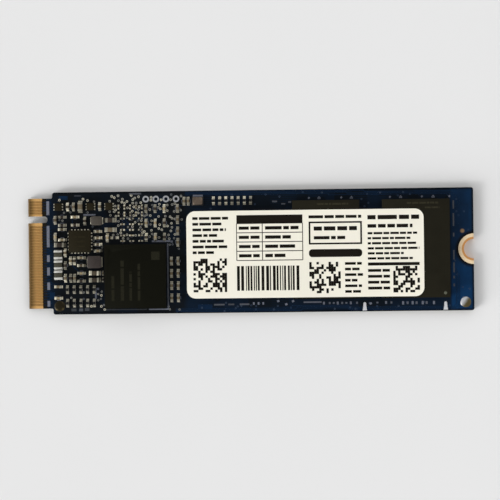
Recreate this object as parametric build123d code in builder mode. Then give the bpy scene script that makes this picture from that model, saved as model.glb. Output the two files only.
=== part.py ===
from build123d import *
import os

# Gumstick solid state drive: a long thin circuit board with a keyed card edge at one end, a half-round
# screw notch at the other, and all its chips on the upper side, most of them under a paper label.
# Millimetres. X runs from the card edge (-X) to the screw notch (+X), Y across the board towards the
# key slot, and Z up from the bare underside at Z = 0. The origin is below the middle of the board.

os.makedirs("parts", exist_ok=True)

# Board
board_length = 80.0
board_width = 22.0
board_thickness = 0.8
board_corner = 0.4

# Card edge: a tongue narrower than the board, with a key slot and a bevelled leading edge
tongue_length = 4.4
shoulder_step = 1.075
shoulder_corner = 0.3
key_offset = 6.125
key_width = 1.2
key_depth = 3.5
edge_bevel = 0.2

# Gold contacts, in a strip of the tongue that the solder mask leaves bare
contact_pitch = 0.5
contact_width = 0.35
contact_length = 2.3
contact_thickness = 0.035
contact_setback = 0.1
contact_side_gap = 0.3
contact_key_gap = 0.4
mask_thickness = 0.015
mask_gap = 0.1

# Screw notch with its plated land
notch_radius = 1.75
land_radius = 2.75
land_thickness = 0.05
barrel_thickness = 0.2

# Ball grid packages
ball_height = 0.22
ball_radius = 0.2
ball_sides = 6
ball_edge_gap = 0.35
controller_length = 11.05
controller_width = 11.5
controller_height = 0.85
controller_ball_pitch = 1.0
controller_edge_gap = 1.0
pin_mark_radius = 0.3
pin_mark_depth = 0.04
pin_mark_inset = 1.1
memory_height = 0.88
flash_count = 2
flash_length = 12.0
flash_side_gap = 2.2
flash_shift = 0.2
flash_share = 0.27
flash_end_gap = 1.55
flash_ball_pitch = 2.0
cache_length = 7.5
cache_width = 13.3
cache_gap = 1.9
cache_ball_pitch = 1.5

# Power management chip: a leadless package on edge leads and a thermal pad
power_size = 4.0
power_height = 0.7
power_pad_size = 2.6
power_lead_pitch = 0.5
lead_thickness = 0.1
lead_width = 0.25
lead_inside = 0.3
lead_reach = 0.2
lead_gap = 0.1

# Small leadless chips
small_chip_length = 1.3
small_chip_width = 1.3
small_chip_height = 0.5
small_lead_pitch = 0.45
small_lead_inset = 0.05

# Power inductors
large_coil_length = 2.5
large_coil_width = 2.2
large_coil_height = 0.95
small_coil_length = 2.0
small_coil_width = 1.6
small_coil_height = 0.75
coil_corner = 0.2
coil_terminal = 0.55
coil_terminal_thickness = 0.1
coil_reach = 0.15

# Timing crystal
crystal_length = 2.0
crystal_width = 1.6
crystal_base_height = 0.4
crystal_lid_height = 0.12
crystal_lid_inset = 0.15

# Chip capacitors and resistors: length over the terminals, width, height, length of one terminal
chip_length = 1.0
chip_width = 0.5
chip_terminal = 0.25
capacitor_height = 0.5
resistor_height = 0.35
large_length = 1.6
large_width = 0.8
large_height = 0.8
large_terminal = 0.35
tiny_length = 0.6
tiny_width = 0.3
tiny_height = 0.3
tiny_terminal = 0.15
wide_length = 1.45
wide_width = 1.5
wide_height = 0.5
wide_terminal = 0.3
wide_count = 3
wide_gap = 0.12
terminal_wall = 0.03
solder_reach = 0.28
tiny_reach = 0.12
wide_reach = 0.13
solder_step = 0.1

# Bare pads
pad_thickness = 0.04
ring_outer_radius = 0.6
ring_inner_radius = 0.3
ring_count = 4
ring_sides = 12
ring_pitch = 1.82
ring_inset = 1.4
corner_pad_radius = 0.95
corner_pad_top_radius = 0.6
corner_pad_sides = 16
corner_pad_height = 0.12
corner_pad_inset = 1.5
tinned_pad_length = 0.8
tinned_pad_width = 1.5
tinned_pad_inset = 0.9

# Label
label_length = 42.4
label_width = 15.65
label_corner = 1.6
label_thickness = 0.1
label_setback = 4.65
label_shift = -0.53

# Room that the layout leaves, and how near an edge must lie to count as being at a place
near = 0.001
part_gap = 0.25
entry_gap = 0.2
chip_gap = 0.35
open_gap = 0.7
package_gap = 0.45
row_gap = 0.5
row_spacing = 0.95
top_row_setback = 1.55
bulk_drop = 0.6
coupling_clearance = 3.3
side_gap = 0.7
side_break = 0.75
fine_split = 1.4
strip_inset = 1.85
strip_open = 1.6
strip_bare = 7.2
bank_inset = 1.25


def fill(low, high, size, gap):
    """Centres of as many pieces of one size as fit between two limits with at least a gap, evenly spread."""
    count = max(0, int((high - low + gap) // (size + gap)))
    if count == 1:
        return [(low + high) / 2]
    return [low + size / 2 + n * (high - low - size) / (count - 1) for n in range(count)]


def spread(low, high, sizes):
    """Centres of pieces of several sizes, side by side from one limit to the other with equal gaps."""
    gap = (high - low - sum(sizes)) / (len(sizes) - 1)
    return [low + sum(sizes[:n]) + n * gap + size / 2 for n, size in enumerate(sizes)]


def on_board(columns, rows, turn=0):
    """Places on the board's upper face where the columns cross the rows."""
    return [Location((x, y, board_thickness), (0, 0, turn)) for x in columns for y in rows]


def keep(piece, name):
    """Labels a finished piece and writes it as the node of that name."""
    piece.part.label = name
    export_step(piece.part, f"parts/{name}.step")


def terminal_pair(length, width, height, terminal, reach):
    """Both end terminals of a chip part with the solder that climbs up them, standing on Z = 0."""
    half = length / 2
    with BuildPart() as pair:
        with BuildSketch(Plane.XZ):
            with BuildLine():
                Polyline(
                    (half - terminal, 0),
                    (half + reach, 0),
                    (half, height - solder_step),
                    (half, height),
                    (half - terminal, height),
                    close=True,
                )
            make_face()
        extrude(amount=width / 2, both=True)
        mirror(about=Plane.YZ)
    return pair.part


# Limits of the board, and the length that each kind of chip part takes up with its solder
left = -board_length / 2
right = board_length / 2
top = board_width / 2
bottom = -top
shoulder = left + tongue_length
chip_span = chip_length + 2 * solder_reach
large_span = large_length + 2 * solder_reach
tiny_span = tiny_length + 2 * tiny_reach
wide_span = wide_length + 2 * wide_reach
small_chip_span = small_chip_length + 2 * lead_reach
small_coil_span = small_coil_length + 2 * coil_reach
large_coil_span = large_coil_length + 2 * coil_reach

# Columns along X, from the shoulder of the tongue to the cache memory
coupling_x = shoulder + entry_gap + chip_span / 2
feed_x = coupling_x + chip_span / 2 + part_gap + chip_width / 2
power_left = feed_x + chip_width / 2 + package_gap
power_x = power_left + power_size / 2
filter_x = power_left + power_size + package_gap + chip_span / 2
controller_left = filter_x + chip_span / 2 + package_gap
controller_right = controller_left + controller_length
controller_x = controller_left + controller_length / 2
side_x = controller_right + side_gap + chip_width / 2
side_outer_x = side_x + chip_width + side_gap
side_right = side_outer_x + chip_width / 2
cache_left = side_right + cache_gap
cache_x = cache_left + cache_length / 2

# Flash packages, from the screw land back, with a share of the free run between them
flash_width = board_width - 2 * flash_side_gap
flash_right = right - land_radius - flash_end_gap
flash_room = flash_right - cache_left - cache_length - flash_count * flash_length
flash_step = flash_length + flash_share * flash_room
flash_xs = [flash_right - flash_length / 2 - n * flash_step for n in range(flash_count)]
flash_left = flash_xs[-1] - flash_length / 2

# Rows along Y, down from the board's upper edge
top_row_y = top - top_row_setback - large_span / 2
second_row_high = top_row_y - large_span / 2 - row_gap
second_row_low = second_row_high - 2 * chip_width - row_spacing
second_row_y = (second_row_high + second_row_low) / 2
power_y = second_row_low - row_gap - lead_reach - power_size / 2
power_low = power_y - power_size / 2 - lead_reach
bulk_y = power_y - bulk_drop
bulk_high = bulk_y + large_width / 2 + part_gap
bulk_low = bulk_y - large_width / 2 - part_gap
corner_pad_y = bottom + corner_pad_inset
corner_pad_left = shoulder + entry_gap
corner_pad_right = corner_pad_left + 2 * corner_pad_radius
coupling_low = corner_pad_y + corner_pad_radius + coupling_clearance
controller_y = bottom + controller_edge_gap + controller_width / 2
controller_top = controller_y + controller_width / 2
strip_y = top - strip_inset
package_z = board_thickness + ball_height
label_z = package_z + memory_height

# Chip parts of the top row and the second row, from the shoulder to above the controller
top_row = spread(
    shoulder + part_gap,
    controller_left + small_chip_span,
    [small_chip_span, chip_width, chip_width, large_width, small_chip_span, chip_width, small_chip_span],
)
second_row = spread(
    shoulder + chip_width + 2 * part_gap,
    controller_left - part_gap,
    [chip_span, chip_span, chip_width, small_coil_span],
)
second_rows = [second_row_high - chip_width / 2, second_row_low + chip_width / 2]
large_coil_x = controller_left - package_gap - large_coil_span / 2
large_coil_y = power_low - package_gap - large_coil_width / 2
large_coil_low = large_coil_y - large_coil_width / 2
small_coil_x = second_row[3]

# Chip parts beside the tongue and round the power chip
shoulder_column_x = shoulder + part_gap + chip_width / 2
shoulder_column = on_board([shoulder_column_x], fill(bulk_high, second_row_high, chip_span, part_gap), 90)
entry_x = (shoulder_column_x + chip_width / 2 + power_left - lead_reach) / 2
entry_pair = on_board([entry_x], fill(bulk_high, second_row_low - part_gap, chip_width, row_gap))
wide_high = bulk_low - part_gap
wide_low = wide_high - wide_count * wide_span - (wide_count - 1) * wide_gap
wide_ys = [wide_high - wide_span / 2 - n * (wide_span + wide_gap) for n in range(wide_count)]
feed_column = on_board([feed_x], fill(coupling_low, bulk_low, chip_span, part_gap), 90)
filter_column = on_board(
    [filter_x], fill(power_y - power_size / 2, power_y + power_size / 2, chip_width, row_gap)
)
output_xs = spread(
    feed_x + chip_width / 2 + package_gap,
    large_coil_x - large_coil_span / 2 - part_gap,
    [chip_width, chip_width, chip_span],
)
output_high = power_low - row_gap
output_stacks = on_board(output_xs[:2], fill(coupling_low, output_high, chip_span, chip_gap), 90)
output_rows = on_board(output_xs[2:], fill(coupling_low, output_high, chip_width, open_gap))
corner_rows = on_board(
    [coupling_x],
    fill(
        corner_pad_y + corner_pad_radius + part_gap,
        min(coupling_low, wide_low) - row_gap,
        chip_width,
        open_gap,
    ),
)
bank_high = min(coupling_low, large_coil_low) - row_gap

# Chip parts above and beside the controller
fine_low = controller_top + package_gap
fine_high = top - ring_inset - ring_outer_radius - chip_gap
fine_left = controller_left + large_span + part_gap
fine_split_x = controller_x + fine_split
fine_split_y = second_row_low + row_spacing + chip_width
crest_y = fine_low + chip_span / 2
crest_x = controller_left + part_gap + chip_width / 2
crest_resistor_x = crest_x + chip_width / 2 + part_gap + chip_span / 2
fine_stacks = on_board(
    fill(fine_split_x + chip_gap, controller_right, chip_width, open_gap),
    fill(fine_low, fine_high, chip_span, row_gap),
    90,
)
side_high = on_board([side_outer_x], fill(controller_top - row_gap, fine_high, chip_span, part_gap), 90)
side_low = on_board(
    [side_x, side_outer_x],
    fill(bottom + 2 * controller_edge_gap, controller_top - side_break - chip_span, chip_span, part_gap),
    90,
)

# Chip parts in the strip along the board's upper edge
strip_pair_left = side_right + side_gap
strip_pair_right = strip_pair_left + 2 * chip_width + part_gap
strip_pair = on_board(fill(strip_pair_left, strip_pair_right, chip_width, part_gap / 2), [strip_y], 90)
crystal_x = strip_pair_right + package_gap + crystal_length / 2
strip_start = crystal_x + crystal_length / 2 + strip_open
strip_resistors = on_board(fill(strip_start, flash_left - strip_bare, chip_width, row_gap), [strip_y], 90)

capacitor_places = (
    on_board([top_row[1], top_row[2], top_row[5]], [top_row_y], 90)
    + on_board(second_row[:2], second_rows)
    + on_board([second_row[2]], [second_row_y], 90)
    + shoulder_column
    + entry_pair
    + feed_column
    + filter_column
    + output_stacks
    + output_rows
    + corner_rows
    + on_board([crest_x], [crest_y], 90)
    + fine_stacks
    + side_high
    + side_low
    + strip_pair
)
resistor_places = (
    on_board(
        fill(corner_pad_right + part_gap, filter_x - chip_width, chip_width, row_gap),
        fill(bottom + bank_inset, bank_high, chip_span, part_gap),
        90,
    )
    + on_board([crest_resistor_x], [crest_y])
    + strip_resistors
)
large_places = (
    on_board([top_row[3]], [top_row_y], 90)
    + on_board([shoulder + part_gap + large_span / 2], [bulk_y])
    + on_board([large_coil_x], fill(coupling_low, large_coil_low - row_gap, large_width, part_gap))
    + on_board(
        [controller_left + large_span / 2],
        fill(fine_low + chip_span + part_gap, second_row_high - row_gap, large_width, part_gap),
    )
)
tiny_places = (
    on_board(
        [controller_left - part_gap - tiny_width / 2],
        fill(coupling_low, large_coil_low - row_gap, tiny_span, part_gap),
        90,
    )
    + on_board(
        fill(fine_left, fine_split_x, tiny_width, open_gap),
        fill(fine_split_y + part_gap, fine_high, tiny_span, chip_gap),
        90,
    )
    + on_board(
        fill(crest_resistor_x + chip_span / 2 + part_gap, fine_split_x, tiny_span, package_gap),
        fill(fine_low, fine_split_y, tiny_width, open_gap),
    )
)
wide_places = on_board([coupling_x], wide_ys, 90)

# Circuit board: plate and tongue, with the key slot, the screw notch and the bare strips cut in
bare_depth = contact_thickness + mask_thickness
bare_end = left + edge_bevel + contact_setback + contact_length + mask_gap
tongue_width = board_width - 2 * shoulder_step
key_radius = key_width / 2
barrel_radius = notch_radius + barrel_thickness
with BuildPart() as circuit_board:
    with BuildSketch() as outline:
        with Locations(((shoulder + right) / 2, 0)):
            Rectangle(right - shoulder, board_width)
        fillet(outline.vertices(), board_corner)
        with Locations((left, 0)):
            Rectangle(tongue_length + board_corner, tongue_width, align=(Align.MIN, Align.CENTER))
        inner_corners = outline.vertices().filter_by_position(Axis.X, shoulder - near, shoulder + near)
        fillet(inner_corners.filter_by_position(Axis.Y, -tongue_width / 2, tongue_width / 2), shoulder_corner)
        with Locations((left, key_offset)):
            Rectangle(key_depth - key_radius, key_width, align=(Align.MIN, Align.CENTER), mode=Mode.SUBTRACT)
        with Locations((left + key_depth - key_radius, key_offset)):
            Circle(key_radius, mode=Mode.SUBTRACT)
        with Locations((right, 0)):
            Circle(barrel_radius, mode=Mode.SUBTRACT)
    extrude(amount=board_thickness)
    with BuildSketch() as bare_strips:
        with Locations((left, 0)):
            Rectangle(bare_end - left, tongue_width, align=(Align.MIN, Align.CENTER))
    extrude(amount=bare_depth, mode=Mode.SUBTRACT)
    with BuildSketch(Plane.XY.offset(board_thickness - bare_depth)):
        add(bare_strips.sketch)
    extrude(amount=bare_depth, mode=Mode.SUBTRACT)
    with BuildSketch() as land_seat:
        with Locations((right, 0)):
            Circle(land_radius)
    extrude(amount=land_thickness, mode=Mode.SUBTRACT)
    with BuildSketch(Plane.XY.offset(board_thickness - land_thickness)):
        add(land_seat.sketch)
    extrude(amount=land_thickness, mode=Mode.SUBTRACT)
    chamfer(circuit_board.edges().filter_by(Axis.Y).group_by(Axis.X)[0], edge_bevel)
keep(circuit_board, "circuit_board")

# Edge contacts: one row each side, half a pitch apart, with none beside the key slot
contact_limit = tongue_width / 2 - contact_side_gap - contact_width / 2
contact_start = left + edge_bevel + contact_setback


def contact_places(first, height):
    """Places of one row of contacts that start at a distance from the centre line and skip the key slot."""
    steps = int(contact_limit // contact_pitch) + 1
    rows = [first + n * contact_pitch for n in range(-steps, steps + 1)]
    on_tongue = [y for y in rows if abs(y) <= contact_limit]
    kept = [y for y in on_tongue if abs(y - key_offset) >= key_radius + contact_key_gap]
    return [Location((contact_start, y, height)) for y in kept]


with BuildPart() as upper_contacts:
    with Locations(*contact_places(contact_pitch / 2, board_thickness - bare_depth)):
        Box(contact_length, contact_width, contact_thickness, align=(Align.MIN, Align.CENTER, Align.MIN))
keep(upper_contacts, "upper_contacts")

with BuildPart() as lower_contacts:
    with Locations(*contact_places(0, mask_thickness)):
        Box(contact_length, contact_width, contact_thickness, align=(Align.MIN, Align.CENTER, Align.MIN))
keep(lower_contacts, "lower_contacts")

# Screw land: plating that lines the half-round notch and turns out over both faces
with BuildPart() as screw_land:
    with BuildSketch(Plane(origin=(right, 0, 0), x_dir=(0, 1, 0), z_dir=(1, 0, 0))):
        with BuildLine():
            Polyline(
                (notch_radius, 0),
                (land_radius, 0),
                (land_radius, land_thickness),
                (barrel_radius, land_thickness),
                (barrel_radius, board_thickness - land_thickness),
                (land_radius, board_thickness - land_thickness),
                (land_radius, board_thickness),
                (notch_radius, board_thickness),
                close=True,
            )
        make_face()
    revolve(axis=Axis((right, 0, 0), (0, 0, 1)), revolution_arc=180)
keep(screw_land, "screw_land")

# Controller with its first-pin mark and its ring of solder balls
with BuildPart() as controller_package:
    with Locations((controller_x, controller_y, package_z)):
        Box(
            controller_length,
            controller_width,
            controller_height,
            align=(Align.CENTER, Align.CENTER, Align.MIN),
        )
    controller_face = Plane.XY.offset(package_z + controller_height - pin_mark_depth)
    with BuildSketch(controller_face):
        with Locations((controller_left + pin_mark_inset, controller_top - pin_mark_inset)):
            Circle(pin_mark_radius)
    extrude(amount=pin_mark_depth, mode=Mode.SUBTRACT)
keep(controller_package, "controller_package")


def ball_lines(centre, length, pitch):
    """Centres of a line of solder balls that keeps clear of the package's edges."""
    reach = length / 2 - ball_edge_gap
    return fill(centre - reach, centre + reach, 2 * ball_radius, pitch - 2 * ball_radius)


controller_columns = ball_lines(controller_x, controller_length, controller_ball_pitch)
controller_rows = ball_lines(controller_y, controller_width, controller_ball_pitch)
ring_columns = [controller_columns[0], controller_columns[-1]]
ring_rows = [controller_rows[0], controller_rows[-1]]
with BuildPart() as controller_balls:
    with BuildSketch(Plane.XY.offset(board_thickness)):
        with Locations(*[(x, y) for x in controller_columns for y in ring_rows]):
            RegularPolygon(ball_radius, ball_sides)
        with Locations(*[(x, y) for x in ring_columns for y in controller_rows[1:-1]]):
            RegularPolygon(ball_radius, ball_sides)
    extrude(amount=ball_height)
keep(controller_balls, "controller_balls")

# Flash memory packages, numbered from the screw notch, and their solder balls in two side banks
for number, flash_x in enumerate(flash_xs, start=1):
    with BuildPart() as flash_package:
        with Locations((flash_x, flash_shift, package_z)):
            Box(flash_length, flash_width, memory_height, align=(Align.CENTER, Align.CENTER, Align.MIN))
    keep(flash_package, f"flash_package_{number}")
    flash_columns = ball_lines(flash_x, flash_length, flash_ball_pitch)
    flash_rows = ball_lines(flash_shift, flash_width, flash_ball_pitch)
    with BuildPart() as flash_balls:
        with BuildSketch(Plane.XY.offset(board_thickness)):
            with Locations(*[(x, y) for x in flash_columns[:2] + flash_columns[-2:] for y in flash_rows]):
                RegularPolygon(ball_radius, ball_sides)
        extrude(amount=ball_height)
    keep(flash_balls, f"flash_balls_{number}")

# Cache memory under the label, with its solder balls
with BuildPart() as cache_package:
    with Locations((cache_x, label_shift, package_z)):
        Box(cache_length, cache_width, memory_height, align=(Align.CENTER, Align.CENTER, Align.MIN))
keep(cache_package, "cache_package")

cache_columns = ball_lines(cache_x, cache_length, cache_ball_pitch)
cache_rows = ball_lines(label_shift, cache_width, cache_ball_pitch)
with BuildPart() as cache_balls:
    with BuildSketch(Plane.XY.offset(board_thickness)):
        with Locations(*[(x, y) for x in cache_columns[:2] + cache_columns[-2:] for y in cache_rows]):
            RegularPolygon(ball_radius, ball_sides)
    extrude(amount=ball_height)
keep(cache_balls, "cache_balls")

# Power management chip, its edge leads and its thermal pad
with BuildPart() as power_chip:
    with Locations((power_x, power_y, board_thickness + lead_thickness)):
        Box(power_size, power_size, power_height, align=(Align.CENTER, Align.CENTER, Align.MIN))
keep(power_chip, "power_chip")

lead_length = lead_inside + lead_reach


def lead_places(x, y, out, limit, pitch, turns):
    """Places of the leads along the sides of a leadless chip, one side for each turn about its centre."""
    sides = [Location((x, y, board_thickness), (0, 0, turn)) for turn in turns]
    offsets = fill(-limit, limit, lead_width, pitch - lead_width)
    return [side * Location((out - lead_inside, offset, 0)) for side in sides for offset in offsets]


power_lead_limit = power_size / 2 - lead_inside - lead_gap
with BuildPart() as power_leads:
    turns = (0, 90, 180, 270)
    with Locations(*lead_places(power_x, power_y, power_size / 2, power_lead_limit, power_lead_pitch, turns)):
        Box(lead_length, lead_width, lead_thickness, align=(Align.MIN, Align.CENTER, Align.MIN))
    with Locations((power_x, power_y, board_thickness)):
        Box(power_pad_size, power_pad_size, lead_thickness, align=(Align.CENTER, Align.CENTER, Align.MIN))
keep(power_leads, "power_leads")

# Small leadless chips in the top row: a load switch, a temperature sensor and a voltage monitor
small_chips = {"load_switch": top_row[0], "temperature_sensor": top_row[4], "voltage_monitor": top_row[6]}
small_lead_limit = small_chip_width / 2 - small_lead_inset
small_lead_places = []
for name, small_chip_x in small_chips.items():
    with BuildPart() as small_chip:
        with Locations((small_chip_x, top_row_y, board_thickness + lead_thickness)):
            Box(
                small_chip_length,
                small_chip_width,
                small_chip_height,
                align=(Align.CENTER, Align.CENTER, Align.MIN),
            )
    keep(small_chip, name)
    small_lead_places += lead_places(
        small_chip_x, top_row_y, small_chip_length / 2, small_lead_limit, small_lead_pitch, (0, 180)
    )

with BuildPart() as small_chip_leads:
    with Locations(*small_lead_places):
        Box(lead_length, lead_width, lead_thickness, align=(Align.MIN, Align.CENTER, Align.MIN))
keep(small_chip_leads, "small_chip_leads")

# Power inductors: moulded blocks with cut corners on two flat terminals each
coils = {
    "large_inductor": (large_coil_x, large_coil_y, large_coil_length, large_coil_width, large_coil_height),
    "small_inductor": (small_coil_x, second_row_y, small_coil_length, small_coil_width, small_coil_height),
}
for name, (x, y, length, width, height) in coils.items():
    with BuildPart() as coil:
        with Locations((x, y, board_thickness + coil_terminal_thickness)):
            Box(length, width, height, align=(Align.CENTER, Align.CENTER, Align.MIN))
        chamfer(coil.edges().filter_by(Axis.Z), coil_corner)
    keep(coil, name)

with BuildPart() as inductor_terminals:
    for x, y, length, width, height in coils.values():
        ends = [x - length / 2 - coil_reach, x + length / 2 - coil_terminal]
        with Locations(*[(end, y, board_thickness) for end in ends]):
            Box(
                coil_terminal + coil_reach,
                width - 2 * coil_corner,
                coil_terminal_thickness,
                align=(Align.MIN, Align.CENTER, Align.MIN),
            )
keep(inductor_terminals, "inductor_terminals")

# Timing crystal: a ceramic tub closed by a metal lid
with BuildPart() as crystal_base:
    with Locations((crystal_x, strip_y, board_thickness)):
        Box(
            crystal_length,
            crystal_width,
            crystal_base_height,
            align=(Align.CENTER, Align.CENTER, Align.MIN),
        )
keep(crystal_base, "crystal_base")

with BuildPart() as crystal_lid:
    with Locations((crystal_x, strip_y, board_thickness + crystal_base_height)):
        Box(
            crystal_length - 2 * crystal_lid_inset,
            crystal_width - 2 * crystal_lid_inset,
            crystal_lid_height,
            align=(Align.CENTER, Align.CENTER, Align.MIN),
        )
    chamfer(crystal_lid.edges().filter_by(Axis.Z), crystal_lid_inset)
keep(crystal_lid, "crystal_lid")

# Chip capacitors and resistors: a body held a little off the board between two end terminals
chip_kinds = {
    "capacitor": (capacitor_places, chip_length, chip_width, capacitor_height, chip_terminal, solder_reach),
    "resistor": (resistor_places, chip_length, chip_width, resistor_height, chip_terminal, solder_reach),
    "large_capacitor": (large_places, large_length, large_width, large_height, large_terminal, solder_reach),
    "tiny_capacitor": (tiny_places, tiny_length, tiny_width, tiny_height, tiny_terminal, tiny_reach),
    "wide_capacitor": (wide_places, wide_length, wide_width, wide_height, wide_terminal, wide_reach),
}
for name, (places, length, width, height, terminal, reach) in chip_kinds.items():
    with BuildPart() as bodies:
        with Locations(*[place * Location((0, 0, terminal_wall)) for place in places]):
            Box(
                length - 2 * terminal,
                width - 2 * terminal_wall,
                height - 2 * terminal_wall,
                align=(Align.CENTER, Align.CENTER, Align.MIN),
            )
    keep(bodies, f"{name}_bodies")
    pair = terminal_pair(length, width, height, terminal, reach)
    with BuildPart() as terminals:
        with Locations(*places):
            add(pair)
    keep(terminals, f"{name}_terminals")

# Test rings along the upper edge, back from the outer column beside the controller
ring_xs = [side_outer_x - chip_width / 2 - n * ring_pitch for n in range(ring_count)]
with BuildPart() as test_rings:
    with BuildSketch(Plane.XY.offset(board_thickness)):
        with Locations(*[(x, top - ring_inset) for x in ring_xs]):
            RegularPolygon(ring_outer_radius, ring_sides)
            RegularPolygon(ring_inner_radius, ring_sides, mode=Mode.SUBTRACT)
    extrude(amount=pad_thickness)
keep(test_rings, "test_rings")

# Round solder pads in the two lower corners
corner_pad_xs = [corner_pad_left + corner_pad_radius, right - corner_pad_inset]
with BuildPart() as corner_pads:
    for x in corner_pad_xs:
        with BuildSketch(Plane.XY.offset(board_thickness)):
            with Locations((x, corner_pad_y)):
                RegularPolygon(corner_pad_radius, corner_pad_sides)
        with BuildSketch(Plane.XY.offset(board_thickness + corner_pad_height)):
            with Locations((x, corner_pad_y)):
                RegularPolygon(corner_pad_top_radius, corner_pad_sides)
        loft(ruled=True)
keep(corner_pads, "corner_pads")

# Tinned pads along the lower edge, beside the flash packages
tinned_xs = [flash_left + flash_length + tinned_pad_length, flash_right - tinned_pad_length]
with BuildPart() as tinned_pads:
    with Locations(*[(x, bottom + tinned_pad_inset, board_thickness) for x in tinned_xs]):
        Box(
            tinned_pad_length,
            tinned_pad_width,
            pad_thickness,
            align=(Align.CENTER, Align.CENTER, Align.MIN),
        )
keep(tinned_pads, "tinned_pads")

# Paper label across the memory packages
label_x = flash_right - label_setback - label_length / 2
with BuildPart() as label_sheet:
    with BuildSketch(Plane.XY.offset(label_z)):
        with Locations((label_x, label_shift)):
            RectangleRounded(label_length, label_width, label_corner)
    extrude(amount=label_thickness)
keep(label_sheet, "label_sheet")
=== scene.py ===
"""Looks of a gumstick solid state drive, built round its packed CAD frame.

Laid out as an add-on and run as a script. Lengths are in metres, in the frame of the CAD: X runs from the
card edge to the screw notch, Y across the board towards the key slot, Z up from the bare underside.
"""
import collections
import math
import random

import bmesh
import bpy
from mathutils import Matrix, Vector


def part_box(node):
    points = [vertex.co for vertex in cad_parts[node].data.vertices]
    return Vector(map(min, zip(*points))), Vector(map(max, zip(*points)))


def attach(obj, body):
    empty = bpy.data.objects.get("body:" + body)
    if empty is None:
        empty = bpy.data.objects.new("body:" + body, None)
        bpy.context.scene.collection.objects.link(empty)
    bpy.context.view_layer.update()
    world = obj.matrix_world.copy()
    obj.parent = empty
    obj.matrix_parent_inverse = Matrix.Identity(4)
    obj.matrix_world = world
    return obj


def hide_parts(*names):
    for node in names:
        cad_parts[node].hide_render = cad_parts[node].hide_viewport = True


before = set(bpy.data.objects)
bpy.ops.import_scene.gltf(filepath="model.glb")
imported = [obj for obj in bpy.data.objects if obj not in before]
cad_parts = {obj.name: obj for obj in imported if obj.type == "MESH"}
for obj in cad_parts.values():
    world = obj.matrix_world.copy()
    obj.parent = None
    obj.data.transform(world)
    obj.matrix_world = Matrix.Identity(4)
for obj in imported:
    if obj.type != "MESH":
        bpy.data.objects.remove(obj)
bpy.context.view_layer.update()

bl_info = {
    "name": "Gumstick solid state drive",
    "version": (1, 0, 0),
    "blender": (4, 5, 0),
    "location": "3D View > Sidebar > Drive",
    "description": "Dresses the packed frame of a gumstick solid state drive",
    "category": "Object",
}

MM = 0.001
MERGE = 0.002 * MM  # points closer than this are one
SHARP = math.radians(35)  # an edge that turns more than this stays crisp
MARK = 0.003 * MM  # thickness of a mark on a moulding

board_low, board_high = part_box("circuit_board")
label_low, label_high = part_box("label_sheet")
controller_low, controller_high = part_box("controller_package")
contact_low, contact_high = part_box("upper_contacts")
land_low, land_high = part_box("screw_land")

BALLS = ("controller_balls", "cache_balls", "flash_balls_1", "flash_balls_2")

Place = collections.namedtuple("Place", "point turn size tone", defaults=(0.0, (1, 1, 1), 0.5))


# Settings


def shade(red, green, blue):
    """Linear colour of a screen colour given from 0 to 255."""
    screen = [value / 255 for value in (red, green, blue)]
    return tuple(v / 12.92 if v <= 0.04045 else ((v + 0.055) / 1.055) ** 2.4 for v in screen)


def number(name, description, default, **kind):
    """A number that a user may change."""
    return bpy.props.FloatProperty(name=name, description=description, default=default, **kind)


def length(name, description, millimetres):
    """A length that a user may change, given in millimetres."""
    return number(name, description, millimetres * MM, min=0, precision=5, subtype="DISTANCE", unit="LENGTH")


def angle(name, description, degrees):
    """An angle that a user may change, given in degrees."""
    return number(name, description, math.radians(degrees), subtype="ANGLE", unit="ROTATION")


def colour(name, description, *screen):
    """A colour that a user may change, given as it looks on a screen."""
    return bpy.props.FloatVectorProperty(
        name=name, description=description, default=shade(*screen), size=3, min=0, max=1, subtype="COLOR"
    )


def share(name, description, default):
    """A share from 0 to 1 that a user may change."""
    return number(name, description, default, min=0, max=1, subtype="FACTOR")


class BoardSettings(bpy.types.PropertyGroup):
    """Circuit board, its copper runs, vias and printed marks."""

    mask: colour("Solder mask", "Dark blue lacquer over bare laminate", 9, 18, 27)
    pour: colour("Mask over copper", "The lacquer where a copper plane lies under it", 12, 39, 67)
    plane: colour("Mask at the end", "The lacquer over the copper plane below the screw notch", 11, 49, 86)
    laminate: colour("Laminate", "Glass and resin at the cut edges", 70, 66, 46)
    bare: colour("Bare strip", "Laminate between the edge contacts", 214, 168, 104)
    fringe: colour("Mask fringe", "Dark edge of the lacquer beside the contacts", 30, 26, 18)
    silk: colour("Printed marks", "Pale ink of outlines and dashes", 122, 126, 140)
    silk_dim: colour("Thin print", "The ink where it is thin", 50, 53, 55)
    # Painted shade: the colour that darkens the lacquer between crowded parts
    crowd_shade: colour("Painted shade among parts", "The lacquer between crowded parts", 13, 16, 18)
    run_width: length("Run width", "Width of a copper run under the mask", 0.13)
    run_height: length("Run height", "How far a run lifts the mask", 0.014)
    via_width: length("Via width", "Across a via's ring", 0.34)
    silk_height: length("Print height", "Thickness of the printed marks", 0.022)


class MetalSettings(bpy.types.PropertyGroup):
    """Gold, tin and solder."""

    gold: colour("Contact gold", "Hard gold on the edge contacts", 228, 177, 108)
    land: colour("Land", "Plating round the screw notch", 252, 226, 186)
    # Inner rim colour: partly wear, partly painted shade where the rim slopes into the notch
    rim_wear_and_shade: colour("Land rim", "Worn inner rim of the screw land", 206, 146, 82)
    tin: colour("Tin", "Leads and end terminals", 243, 237, 214)
    solder: colour("Solder", "Balls and fillets", 205, 204, 198)
    pad: colour("Bare pads", "Bright tin of the test rings and edge pads", 232, 234, 238)
    # Olive tint of the corner domes, also used for their painted dark reflection and shade
    flux_and_dark_reflection: colour("Flux", "Stained solder of the corner domes", 104, 92, 58)
    contact_edge: length("Contact edge", "Rounding of a contact's edges", 0.012)
    land_edge: length("Land edge", "Rounding of the screw land's edges", 0.02)


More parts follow.
